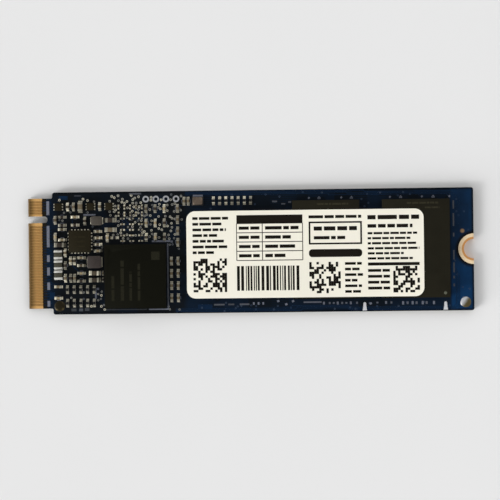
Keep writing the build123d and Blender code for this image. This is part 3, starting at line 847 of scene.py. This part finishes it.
class DRIVE_OT_board(bpy.types.Operator):
    """Paint the circuit board and lay its copper runs and vias"""

    bl_idname = "drive.board"
    bl_label = "Circuit board"

    def execute(self, context):
        board = context.scene.drive_board
        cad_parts["circuit_board"].material_slots[0].material = mask_material(board)
        top = board_high.z
        level = top + board.run_height / 4
        boxes = occupied()
        rng = random.Random(11)
        runs = []

        def run(path):
            runs.append([(x * MM, y * MM, level) for x, y in path])

        start = contact_high.x + 0.1 * MM
        slot_low, slot_high = 4.9 * MM, 7.4 * MM
        for low, high in islands("upper_contacts"):
            y = (low.y + high.y) / 2
            if slot_low < y < slot_high:
                continue
            jog = rng.choice((-0.25, 0.0, 0.25)) * MM
            runs.append([(start, y, level), (start + 0.7 * MM, y, level), (start + 1.5 * MM, y + jog, level)])
        for n, y in enumerate((10.25, 10.5, 10.75)):
            step = 14 + 3.2 * n
            path = [(-11.6, y), (step, y), (step + 0.3, y - 0.3), (35.2 + 0.4 * n, y - 0.3)]
            path += [(36.8 + 0.4 * n, y - 1.9), (36.8 + 0.4 * n, 5.0 - 0.6 * n)]
            run(path)
        for n, y in enumerate((-10.72, -10.48, -10.24)):
            path = [(-13.5, y), (9.0 - n, y), (9.4 - n, y + 0.4), (17.4, y + 0.4), (17.8, y)]
            path += [(37.0 - 0.3 * n, y), (37.4 - 0.3 * n, y + 0.4), (37.4 - 0.3 * n, -4.4 + 0.5 * n)]
            run(path)

        # Short runs between the ends of chip parts that lie near each other
        kinds = ("capacitor_terminals", "tiny_capacitor_terminals", "resistor_terminals")
        ends = [(low + high) / 2 for node in kinds for low, high in islands(node)]
        linked = set()
        near, far = 0.9 * MM, 2.6 * MM
        for first, a in enumerate(ends):
            second = rng.choice(range(len(ends)))
            b = ends[second]
            gap = Vector((b.x - a.x, b.y - a.y))
            if not near < gap.length < far or (second, first) in linked:
                continue
            linked.add((first, second))
            slant = min(abs(gap.x), abs(gap.y))
            if abs(gap.x) > abs(gap.y):
                middle = (b.x - math.copysign(slant, gap.x), a.y)
            else:
                middle = (a.x, b.y - math.copysign(slant, gap.y))
            runs.append([(a.x, a.y, level), (*middle, level), (b.x, b.y, level)])
        piece = lay_runs("copper_runs", runs, board.run_width, board.run_height, run_material(board))
        settle(piece, "solder_mask")

        spots = ((-35.8, -7.58, 0.9, 1.1), (-33.6, 10.0, 1.6, 0.7))
        spots += ((37.9, 6.2, 2.4, 3.4), (-8.2, -9.9, 2.6, 0.9))
        patches = [bar(*spot, top, board.run_height) for spot in spots]
        lay_bars("copper_patches", patches, run_material(board), "solder_mask")

        spots = ((-30.02, 9.76), (-29.21, 9.49), (-34.3, 9.62), (-28.73, -9.57))
        spots += ((-26.9, -7.62), (-26.93, -9.6), (-26.32, -10.18), (-21.6, 6.1))
        vias = [Place((x * MM, y * MM, top), 0.0, (1.3, 1.3, 1), 1.0) for x, y in spots]
        fields = ((-25.4, 7.2, -12.2, 10.4, 170, 1.0), (-25.4, 2.4, -12.2, 7.6, 170, 0.9))
        fields += ((-35.0, -10.4, -12.5, 10.4, 220, 0.4), (-12.0, 7.7, 36.0, 10.6, 30, 0.05))
        fields += ((-12.0, -10.7, 36.0, -9.2, 30, 0.05), (36.2, -8.0, 39.4, 10.3, 18, 0.03))
        room, apart = 0.22 * MM, 0.55 * MM
        for left, low, right, high, count, bare in fields:
            wide = 1.0 + 0.3 * bare
            for _ in range(count):
                x = rng.uniform(left, right) * MM
                y = rng.uniform(low, high) * MM
                if clear_of(boxes, x, y, room) and all(
                    abs(x - v.point[0]) + abs(y - v.point[1]) > apart for v in vias
                ):
                    vias.append(Place((x, y, top), 0.0, (wide, wide, 1), bare * rng.uniform(0.3, 1.0)))
        ring_height = 0.018 * MM
        ring = hoop(board.via_width / 2, board.via_width / 4, ring_height, 10)
        piece = set_parts("via_rings", ring, vias, via_material(board, context.scene.drive_metal))
        settle(piece, "pad_tin")
        return {"FINISHED"}


class DRIVE_OT_marks(bpy.types.Operator):
    """Print the pale outlines, dashes and dots on the board"""

    bl_idname = "drive.marks"
    bl_label = "Printed marks"

    def execute(self, context):
        board = context.scene.drive_board
        places = []

        def mark(x, y, long, wide, tone, turn=0.0):
            places.append(bar(x, y, long, wide, board_high.z, board.silk_height, math.radians(turn), tone))

        spans = ((6.95, 9.45), (1.15, 5.0), (-1.5, -0.3), (-3.95, -2.5), (-6.55, -5.2), (-9.55, -8.5))
        for low, high in spans:
            mark(-36.42, (low + high) / 2, 0.5, high - low, 0.8)
        right = controller_high.x / MM + 0.3
        lower = controller_low.y / MM - 0.24
        upper = controller_high.y / MM + 0.42
        middle = (controller_low.y + controller_high.y) / 2 / MM
        mark(right, middle, 0.26, controller_high.y / MM - lower, 0.35)
        mark(right - 1.7, lower, 3.6, 0.22, 0.75)
        mark(right - 7.6, lower, 7.4, 0.12, 0.15)
        mark(right - 1.2, upper + 0.1, 3.3, 0.34, 0.8)
        mark(right + 0.72, upper, 0.4, 0.4, 0.6)
        for values in (
            (-28.9, 6.9, 2.2, 0.3, 0.6), (-27.9, -7.4, 0.3, 1.6, 0.5), (-28.2, -8.45, 0.6, 0.28, 0.4),
            (-27.55, -6.45, 0.5, 0.4, 0.7), (-31.9, -10.2, 0.9, 0.5, 0.05), (-30.6, -10.2, 0.7, 0.5, 0.2),
            (-29.5, -10.15, 0.8, 0.5, 0.1), (-31.0, 10.35, 1.2, 0.14, 0.2), (-20.6, 10.6, 2.2, 0.3, 0.2),
            (11.1, -9.25, 3.2, 0.26, 0.55), (-5.65, -9.52, 1.9, 0.3, 0.3), (-3.5, -9.5, 1.1, 0.3, 0.2),
            (-1.1, -9.5, 1.75, 0.3, 0.35), (4.5, 8.9, 0.9, 0.3, 0.3), (6.05, 8.45, 0.7, 0.25, 0.3),
            (7.2, 8.75, 0.5, 0.3, 0.3), (-9.3, 10.02, 1.8, 0.5, 1.0),
        ):
            mark(*values)
        for x in (0.55, 1.4, 2.25):
            mark(x, -9.38, 0.3, 0.45, 0.95)
        spans = ((7.2, 8.7), (4.1, 6.4), (2.2, 2.9), (-1.9, -0.2), (-4.2, -2.4), (-5.3, -4.8), (-6.7, -6.2))
        for low, high in spans:
            mark(36.45, (low + high) / 2, 0.28, high - low, 0.25)
        for x in (10.66, 16.46, 25.16, 30.86, 35.76):
            mark(x, 9.46, 0.34, 0.3, 0.8, 45)
        for x in (12.46, 18.26, 27.06, 32.86):
            mark(x, 9.5, 0.36, 0.32, 0.8, 45)
            mark(x, 9.35, 0.55, 0.26, 0.7)
        for n, x in enumerate((13.13, 14.17, 14.9, 15.6, 16.4, 17.15, 17.95, 19.06, 22.7, 24.25, 25.2)):
            mark(x, -9.45, 0.34, 0.5 - 0.1 * (n % 3), (0.7, 0.4, 0.55)[n % 3])
        for n, x in enumerate((27.3, 28.1, 29.0, 29.7, 30.8, 31.5, 32.8)):
            mark(x, -9.55, 0.36, 0.6 - 0.12 * (n % 2), (0.8, 0.5)[n % 2])
        for x, y in ((4.95, -9.0), (6.38, -9.58), (7.6, -9.04), (21.5, -9.6)):
            mark(x, y, 0.42, 0.36, 0.9, 20)
        rng = random.Random(17)
        for node in ("capacitor_bodies", "tiny_capacitor_bodies"):
            for low, high in islands(node):
                size = (high - low) / MM
                middle = (low + high) / 2 / MM
                turn = 90 if size.y > size.x else 0
                off = min(size.x, size.y) / 2 + 0.17
                for side in (-off, off):
                    if middle.x < -11 and rng.random() < 0.7:
                        x, y = (side, 0) if turn else (0, side)
                        long = max(size.x, size.y) * rng.uniform(0.8, 1.8)
                        mark(middle.x + x, middle.y + y, long, 0.1, rng.uniform(0.1, 0.9), turn)
        lay_bars("board_marks", places, silk_material(board), "solder_mask")
        return {"FINISHED"}


class DRIVE_OT_contacts(bpy.types.Operator):
    """Round the gold edge contacts and the plated land of the screw notch"""

    bl_idname = "drive.contacts"
    bl_label = "Gold contacts"

    def execute(self, context):
        metal = context.scene.drive_metal
        boxes = islands("upper_contacts") + islands("lower_contacts")
        places = [Place((low.x, (low.y + high.y) / 2, low.z)) for low, high in boxes]
        size = boxes[0][1] - boxes[0][0]
        finger = block(size, metal.contact_edge, 2, (size.x / 2, 0, 0))
        piece = set_parts("gold_contacts", finger, places, gold_material(metal))
        settle(piece, "contact_gold", "upper_contacts", "lower_contacts")
        recast("notch_land", "screw_land", metal.land_edge, land_material(metal), "land_gold", 2)
        return {"FINISHED"}


class DRIVE_OT_packages(bpy.types.Operator):
    """Mould the controller and the memory packages and burn faint marks into them"""

    bl_idname = "drive.packages"
    bl_label = "Packages"

    def execute(self, context):
        look = context.scene.drive_packages
        moulding = epoxy_material("controller_epoxy", look.controller, 0.55)
        recast("controller_moulding", "controller_package", look.edge, moulding, "controller_epoxy")
        moulding = epoxy_material("memory_epoxy", look.memory)
        for node in ("flash_package_1", "flash_package_2", "cache_package"):
            recast(node.replace("package", "moulding"), node, look.edge, moulding, "memory_epoxy")

        rng = random.Random(5)
        places = []
        top = controller_high.z
        left = controller_low.x / MM
        low = controller_low.y / MM
        for x, long, tall in ((1.5, 4.5, 0.8), (3.2, 7.2, 0.9), (4.7, 5.2, 0.7), (6.2, 6.6, 0.7)):
            places += strokes(rng, left + x, low + 1.4, long, tall, top, MARK, upright=True)
        places.append(bar(left + 9.2, low + 9.4, 1.5, 1.5, top, MARK))
        mark = print_material("controller_marks", look.mark, darker(look.controller, 1.4), 0.07)
        lay_bars("controller_print", places, mark, "controller_epoxy")
        places = []
        for node in ("flash_package_1", "flash_package_2"):
            corner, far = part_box(node)
            places += strokes(rng, far.x / MM - 7.6, far.y / MM - 0.7, 5.6, 0.5, far.z, MARK)
            places += strokes(rng, corner.x / MM + 3.4, corner.y / MM + 0.22, 3.0, 0.25, far.z, MARK)
        corner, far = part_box("flash_package_1")
        places += strokes(rng, far.x / MM - 4.4, far.y / MM - 1.55, 2.6, 0.45, far.z, MARK)
        mark = print_material("memory_marks", darker(look.memory, 2.2), darker(look.memory, 1.2), 0.07)
        lay_bars("memory_print", places, mark, "memory_epoxy")
        outline = arc((far.x - 0.9 * MM, corner.y + 0.8 * MM), 0.28 * MM, 0, 360, 20)[:-1]
        pale = print_material("pin_dot", shade(96, 98, 84), look.memory)
        settle(make("first_pin_dot", prism(outline, far.z, far.z + MARK), pale), "memory_epoxy")
        return {"FINISHED"}


class DRIVE_OT_balls(bpy.types.Operator):
    """Set the solder balls under the packages"""

    bl_idname = "drive.balls"
    bl_label = "Solder balls"

    def execute(self, context):
        boxes = [box for node in BALLS for box in islands(node)]
        size = boxes[0][1] - boxes[0][0]
        radius = max(size.x, size.y) / 2 * (1 + context.scene.drive_packages.ball_spread)
        solder = tin_material("ball_solder", context.scene.drive_metal.solder, 0.25, 0.5, 8.0)
        piece = grow(
            "ball_joints",
            places_mesh([Place((low + high) / 2) for low, high in boxes]),
            ball_tree(),
            Radius=radius,
            Flatness=size.z / 2 / radius,
            Segments=12,
            Rings=6,
            Finish=solder,
        )
        settle(piece, "solder_ball", *BALLS)
        return {"FINISHED"}


class DRIVE_OT_leadless(bpy.types.Operator):
    """Mould the power chip and the small leadless chips, and tin their leads"""

    bl_idname = "drive.leadless"
    bl_label = "Leadless chips"

    def execute(self, context):
        look = context.scene.drive_packages
        moulding = epoxy_material("chip_epoxy", look.chip)
        for node in ("power_chip", "load_switch", "temperature_sensor", "voltage_monitor"):
            recast(f"{node}_moulding", node, look.chip_edge, moulding, "chip_epoxy")
        tin = tin_material("lead_tin", context.scene.drive_metal.tin, 0.3, 0.5, 7.0)
        for node in ("power_leads", "small_chip_leads"):
            recast(f"{node}_tinned", node, 0.015 * MM, tin, "lead_tin", 2)
        rng = random.Random(8)
        low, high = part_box("power_chip")
        places = []
        for n in range(3):
            places += strokes(rng, low.x / MM + 0.9, low.y / MM + 1.1 + 0.85 * n, 2.1, 0.45, high.z, MARK)
        mark = print_material("chip_marks", darker(look.chip, 1.25), look.chip, 0.07)
        lay_bars("power_chip_marks", places, mark, "chip_epoxy")
        return {"FINISHED"}


class DRIVE_OT_coils(bpy.types.Operator):
    """Press the inductors and set the timing crystal"""

    bl_idname = "drive.coils"
    bl_label = "Inductors and crystal"

    def execute(self, context):
        chips = context.scene.drive_chips
        for node, rgb in (("large_inductor", chips.coil_dark), ("small_inductor", chips.coil)):
            iron = coil_material(f"{node}_iron", rgb)
            recast(f"{node}_block", node, 0.07 * MM, iron, "inductor_moulding")
        tin = tin_material("coil_tin", context.scene.drive_metal.tin, 0.3, 0.5, 6.0)
        recast("inductor_feet", "inductor_terminals", 0.02 * MM, tin, "terminal_tin", 2)
        tub = ceramic_material("crystal_ceramic", darker(chips.tub, 0.6), chips.tub)
        recast("crystal_tub", "crystal_base", 0.05 * MM, tub, "crystal_ceramic")
        lid = tin_material("crystal_metal", chips.lid, 0.3, 0.45, 4.0)
        recast("crystal_cover", "crystal_lid", 0.04 * MM, lid, "crystal_metal")
        return {"FINISHED"}


def solder_slope(side, half, width, height, reach):
    """Hollow slope of solder from an end terminal down to the board."""
    shape = bmesh.new()
    steps = 5
    across = (-1, -0.5, 0, 0.5, 1)
    sunk = 0.02 * MM
    film = 0.012 * MM
    climb, hollow = 0.78, 2.1
    sections = []
    for n in range(steps + 1):
        t = n / steps
        x = side * (half + (reach + sunk) * t - sunk)
        z = climb * height * (1 - t) ** hollow + film
        w = width / 2 * (0.86 + 0.2 * t)
        ring = [shape.verts.new((x, -w, 0)), shape.verts.new((x, w, 0))]
        ring += [shape.verts.new((x, w * k, z * (1 - 0.3 * k * k))) for k in across[::-1]]
        sections.append(ring)
    for a, b in zip(sections, sections[1:]):
        walls(shape, a, b)
    shape.faces.new(sections[0])
    shape.faces.new(sections[-1])
    return shape


class DRIVE_OT_chips(bpy.types.Operator):
    """Set the chip capacitors and resistors with their end terminals and solder"""

    bl_idname = "drive.chips"
    bl_label = "Chip parts"

    def execute(self, context):
        chips = context.scene.drive_chips
        metal = context.scene.drive_metal
        tin = terminal_material(metal.tin)
        kinds = (
            ("capacitor", 0.25, 0.28, "capacitor_ceramic"),
            ("resistor", 0.25, 0.28, "resistor_glaze"),
            ("large_capacitor", 0.35, 0.28, "large_capacitor_ceramic"),
            ("tiny_capacitor", 0.15, 0.12, "capacitor_ceramic"),
            ("wide_capacitor", 0.3, 0.13, "capacitor_ceramic"),
        )
        wall = 0.03 * MM
        rng = random.Random(3)
        for kind, terminal, reach, slot in kinds:
            bodies = f"{kind}_bodies"
            boxes = islands(bodies)
            size = boxes[0][1] - boxes[0][0]
            across = kind == "wide_capacitor"
            long, wide = sorted((size.x, size.y), reverse=not across)
            tall = size.z
            if kind == "resistor":
                material = resistor_material(chips, boxes[0][1].z)
            else:
                dark = chips.ceramic_green if across else chips.ceramic
                material = ceramic_material(f"{kind}_ceramic", dark, chips.ceramic_pale)
            places = []
            for low, high in boxes:
                turned = (high.y - low.y > high.x - low.x) != across
                point = ((low.x + high.x) / 2, (low.y + high.y) / 2, board_high.z)
                tone = rng.random() ** 2.4
                if kind == "capacitor" and point[0] > -14.5 * MM:
                    tone = 0.275 + 0.03 * rng.random()
                if kind == "resistor" and point[1] < 0:
                    tone *= 0.02
                if across:
                    tone = 0.08
                places.append(Place(point, math.pi / 2 if turned else 0.0, (1, 1, 1), tone))
            body = block((long + 0.01 * MM, wide, tall), chips.edge * 0.7, 2, (0, 0, wall))
            seed = len(places)
            piece = set_parts(f"{kind}_blocks", body, places, material, chips.lean, seed)
            settle(piece, slot, bodies)
            over = long + 2 * terminal * MM
            width = wide + 2 * wall
            height = tall + 2 * wall
            ends = []
            for side in (-1, 1):
                centre = (side * (over - terminal * MM) / 2, 0, 0)
                ends.append(block((terminal * MM, width, height), chips.edge, 2, centre))
                ends.append(solder_slope(side, over / 2, width, height, reach * MM))
            finish = pad_material("wide_terminal_tin", darker(metal.solder, 1.15)) if across else tin
            piece = set_parts(f"{kind}_ends", join(ends), places, finish, chips.lean, seed)
            settle(piece, "terminal_tin", f"{kind}_terminals")
        return {"FINISHED"}


class DRIVE_OT_pads(bpy.types.Operator):
    """Make the test rings, the solder domes in the corners and the tinned pads"""

    bl_idname = "drive.pads"
    bl_label = "Bare pads"

    def execute(self, context):
        metal = context.scene.drive_metal
        tin = pad_material("ring_tin", darker(metal.pad, 0.55))
        rings = islands("test_rings")
        places = [Place(((low.x + high.x) / 2, (low.y + high.y) / 2, low.z)) for low, high in rings]
        size = rings[0][1] - rings[0][0]
        outer = size.x / 2
        bore = 0.52
        hoops = join([hoop(outer, outer * bore, size.z, 24)])
        settle(set_parts("ring_pads", hoops, places, tin), "pad_tin", "test_rings")

        domes = []
        corners = islands("corner_pads")
        right = max(((low + high) / 2 / MM for low, high in corners), key=lambda centre: centre.x)
        for low, high in corners:
            centre = (low + high) / 2
            radius = (high.x - low.x) / 2
            shape = bmesh.new()
            bmesh.ops.create_uvsphere(shape, u_segments=32, v_segments=16, radius=radius)
            under = [v for v in shape.verts if v.co.z < -MERGE]
            bmesh.ops.delete(shape, geom=under, context="VERTS")
            rim = [e for e in shape.edges if e.is_boundary]
            bmesh.ops.contextual_create(shape, geom=rim)
            for vert in shape.verts:
                vert.co.z *= (high.z - low.z) / radius
                vert.co += Vector((centre.x, centre.y, low.z))
            domes.append(shape)
        solder = dome_material(metal, (right.x, right.y))
        settle(make("corner_domes", join(domes), solder), "corner_solder", "corner_pads")
        bells = []
        for low, high in islands("tinned_pads"):
            half = (high.x - low.x) / 2
            middle = (low.x + high.x) / 2
            waist = 0.72 * half
            shoulder = low.y + 1.6 * half
            round_off = 0.62 * half
            outline = [(middle - half, low.y), (middle + half, low.y), (middle + waist, shoulder)]
            outline += arc((middle, high.y - round_off), round_off, 0, 180, 8)
            outline.append((middle - waist, shoulder))
            bells.append(prism(outline, low.z, high.z))
        settle(make("edge_pads", join(bells), pad_material("pad_tin", metal.pad)), "pad_tin", "tinned_pads")
        return {"FINISHED"}


class DRIVE_OT_label(bpy.types.Operator):
    """Cut the paper label and print plain fields and strokes on it"""

    bl_idname = "drive.label"
    bl_label = "Label"

    def execute(self, context):
        label = context.scene.drive_label
        top = label_high.z - label.ink_height
        outline = rounded(label_low, label_high, label.corner, 10)
        sheet = prism(outline, label_low.z, top)
        rim = [e for e in sheet.edges if e.calc_face_angle(0) > math.radians(60)]
        bevel(sheet, rim, 0.02 * MM, 2, clamp=False)
        settle(make("paper_label", sheet, paper_material(label)), "label_paper", "label_sheet")

        rng = random.Random(21)
        hairline = 0.004
        ink = label.ink_height
        places = []
        centre_x = (label_low.x + label_high.x) / 2 / MM
        centre_y = (label_low.y + label_high.y) / 2 / MM

        def line(x, y, long, tall):
            places.extend(strokes(rng, centre_x + x, centre_y + y, long, tall, top, ink))

        def field(x, y, long, wide):
            places.append(bar(centre_x + x, centre_y + y, long, wide, top, ink))

        def mosaic(x, y, cells, pitch):
            for column in range(cells):
                start = None
                for row, dark in enumerate([rng.random() < 0.52 for _ in range(cells)] + [False]):
                    if dark and start is None:
                        start = row
                    if start is not None and not dark:
                        middle = y + (start + row - 1) / 2 * pitch
                        field(x + column * pitch, middle, pitch - hairline, (row - start) * pitch)
                        start = None

        for n, long in enumerate((6.4, 5.2, 6.0, 4.4, 5.6, 6.2, 3.8)):
            line(-20.1, 6.5 - 1.02 * n, long, 0.72)
        mosaic(-19.8, -6.5, 14, 0.43)
        field(-6.3, 6.25, 11.8, 1.5)
        for y in (5.5, 3.85, 2.2, 0.55, -1.1):
            field(-6.3, y, 11.8, 0.14)
        for x in (-12.2, -7.6, -0.4):
            field(x, 2.2, 0.14, 6.6)
        for n in range(4):
            line(-11.8, 4.68 - 1.65 * n, 3.7, 0.85)
            line(-7.1, 4.68 - 1.65 * n, (6.0, 4.6, 5.4, 3.6)[n], 0.9)
        x = -12.2
        while x < -1.0:
            wide = rng.choice((0.16, 0.2, 0.34, 0.5))
            field(x + wide / 2, -4.3, wide, 4.4)
            x += wide + rng.choice((0.16, 0.24, 0.34))
        line(0.7, 6.55, 9.4, 0.8)
        for y in (5.55, 1.75):
            field(5.45, y, 9.5, 0.3)
        for x in (0.85, 10.05):
            field(x, 3.65, 0.3, 3.8)
        line(1.6, 4.45, 7.7, 1.1)
        line(1.6, 2.8, 5.6, 0.85)
        mosaic(0.95, -6.9, 13, 0.43)
        for n in range(6):
            line(7.1, -1.85 - 1.0 * n, (3.0, 2.6, 3.2, 2.2, 3.0, 2.8)[n], 0.7)
        line(11.2, 6.35, 9.2, 1.15)
        line(11.2, 4.8, 8.0, 0.95)
        for n in range(6):
            line(11.2, 3.5 - 0.9 * n, (9.0, 7.6, 8.6, 9.2, 6.4, 8.0)[n], 0.6)
        field(15.8, -2.0, 9.2, 0.55)
        mosaic(15.9, -6.9, 11, 0.43)
        for n in range(4):
            line(11.2, -3.15 - 1.05 * n, 3.9, 0.75)
        black = print_material("label_ink", label.ink, darker(label.ink, 1.8), 0.05)
        lay_bars("label_print", places, black, "label_paper")

        middle = Vector((centre_x, centre_y)) * MM
        low, high = (middle + Vector(corner) * MM for corner in ((0.7, -0.65), (10.2, 0.75)))
        pill = prism(rounded(low, high, 0.6 * MM), top, label_high.z)
        settle(make("label_shapes", join([pill]), black), "label_paper")
        return {"FINISHED"}


class DRIVE_OT_stage(bpy.types.Operator):
    """Lay the floor, hang the lamps and place the camera"""

    bl_idname = "drive.stage"
    bl_label = "Stage"

    def execute(self, context):
        stage = context.scene.drive_stage
        scene = context.scene
        half = 5.0
        gap = 0.02 * MM
        skin = Skin("pale_floor", 1.0, specular=0.0)
        skin.link(skin.blend(skin.noise(0.02), stage.floor, darker(stage.floor, 0.97)), "Base Color")
        shape = bmesh.new()
        bmesh.ops.create_grid(shape, x_segments=2, y_segments=2, size=half)
        bmesh.ops.translate(shape, verts=shape.verts[:], vec=(0, 0, -gap))
        floor = make("floor", shape, skin.material)

        def lamp(name, strength, heading):
            light = bpy.data.lights.new(name, "SUN")
            light.energy = strength
            light.angle = stage.spread
            lit = bpy.data.objects.new(name, light)
            lit.location = heading
            lit.rotation_euler = (-Vector(heading)).to_track_quat("-Z", "Y").to_euler()
            scene.collection.objects.link(lit)

        lamp("key_lamp", stage.key, (-1.8, -1.0, 0.45))
        lamp("fill_lamp", stage.fill, (0.6, 0.4, 0.7))

        world = bpy.data.worlds.new("room")
        world.use_nodes = True
        mixer = Mixer(world.node_tree)
        height = mixer.axes(mixer.node("ShaderNodeTexCoord", "Generated"))["Z"]
        above_floor = mixer.ease(height, 0.05, 0.3, 0.42, 1.0)
        glow = mixer.times(above_floor, mixer.ease(height, 0.3, 0.75, 1.0, 0.1))
        back = mixer.tree.nodes["Background"].inputs
        back["Color"].default_value = (1, 1, 1, 1)
        mixer.tree.links.new(mixer.times(glow, stage.room), back["Strength"])
        scene.world = world

        sensor = 36.0
        tilt = math.radians(2.0)
        data = bpy.data.cameras.new("camera")
        data.sensor_width = sensor
        data.lens = sensor * stage.distance / stage.view_width
        data.clip_start = 0.01
        data.clip_end = 20.0
        camera = bpy.data.objects.new("camera", data)
        turn = Matrix.Rotation(tilt, 4, "Y") @ Matrix.Rotation(stage.roll, 4, "Z")
        target = Vector((-0.02 * MM, 0.23 * MM, board_high.z))
        offset = turn.to_3x3() @ Vector((0, 0, stage.distance))
        camera.matrix_world = Matrix.Translation(target + offset) @ turn
        scene.collection.objects.link(camera)
        scene.camera = camera
        scene.view_settings.view_transform = "Standard"
        return {"FINISHED"}


class DRIVE_PT_panel(bpy.types.Panel):
    """Sizes and colours of the drive, and the steps that dress it"""

    bl_idname = "DRIVE_PT_panel"
    bl_label = "Gumstick drive"
    bl_space_type = "VIEW_3D"
    bl_region_type = "UI"
    bl_category = "Drive"

    def draw(self, context):
        for operator in OPERATORS:
            self.layout.operator(operator.bl_idname)
        for key, group in GROUPS.items():
            box = self.layout.box()
            box.label(text=group.__doc__)
            for name in group.__annotations__:
                box.prop(getattr(context.scene, key), name)


GROUPS = {
    "drive_board": BoardSettings,
    "drive_metal": MetalSettings,
    "drive_packages": PackageSettings,
    "drive_chips": ChipSettings,
    "drive_label": LabelSettings,
    "drive_stage": StageSettings,
}
OPERATORS = (
    DRIVE_OT_board,
    DRIVE_OT_marks,
    DRIVE_OT_contacts,
    DRIVE_OT_packages,
    DRIVE_OT_balls,
    DRIVE_OT_leadless,
    DRIVE_OT_coils,
    DRIVE_OT_chips,
    DRIVE_OT_pads,
    DRIVE_OT_label,
    DRIVE_OT_stage,
)


def register():
    """Registers the settings, the operators and the panel."""
    for group in GROUPS.values():
        bpy.utils.register_class(group)
    for key, group in GROUPS.items():
        setattr(bpy.types.Scene, key, bpy.props.PointerProperty(type=group))
    for item in (*OPERATORS, DRIVE_PT_panel):
        bpy.utils.register_class(item)


def unregister():
    """Takes the panel, the operators and the settings out again."""
    for item in (DRIVE_PT_panel, *reversed(OPERATORS)):
        bpy.utils.unregister_class(item)
    for key in GROUPS:
        delattr(bpy.types.Scene, key)
    for group in reversed(list(GROUPS.values())):
        bpy.utils.unregister_class(group)


def main():
    """Registers the settings and dresses the drive."""
    register()
    bpy.ops.drive.stage()
    bpy.ops.drive.board()
    bpy.ops.drive.marks()
    bpy.ops.drive.contacts()
    bpy.ops.drive.packages()
    bpy.ops.drive.balls()
    bpy.ops.drive.leadless()
    bpy.ops.drive.coils()
    bpy.ops.drive.chips()
    bpy.ops.drive.pads()
    bpy.ops.drive.label()


if __name__ == "__main__":
    main()
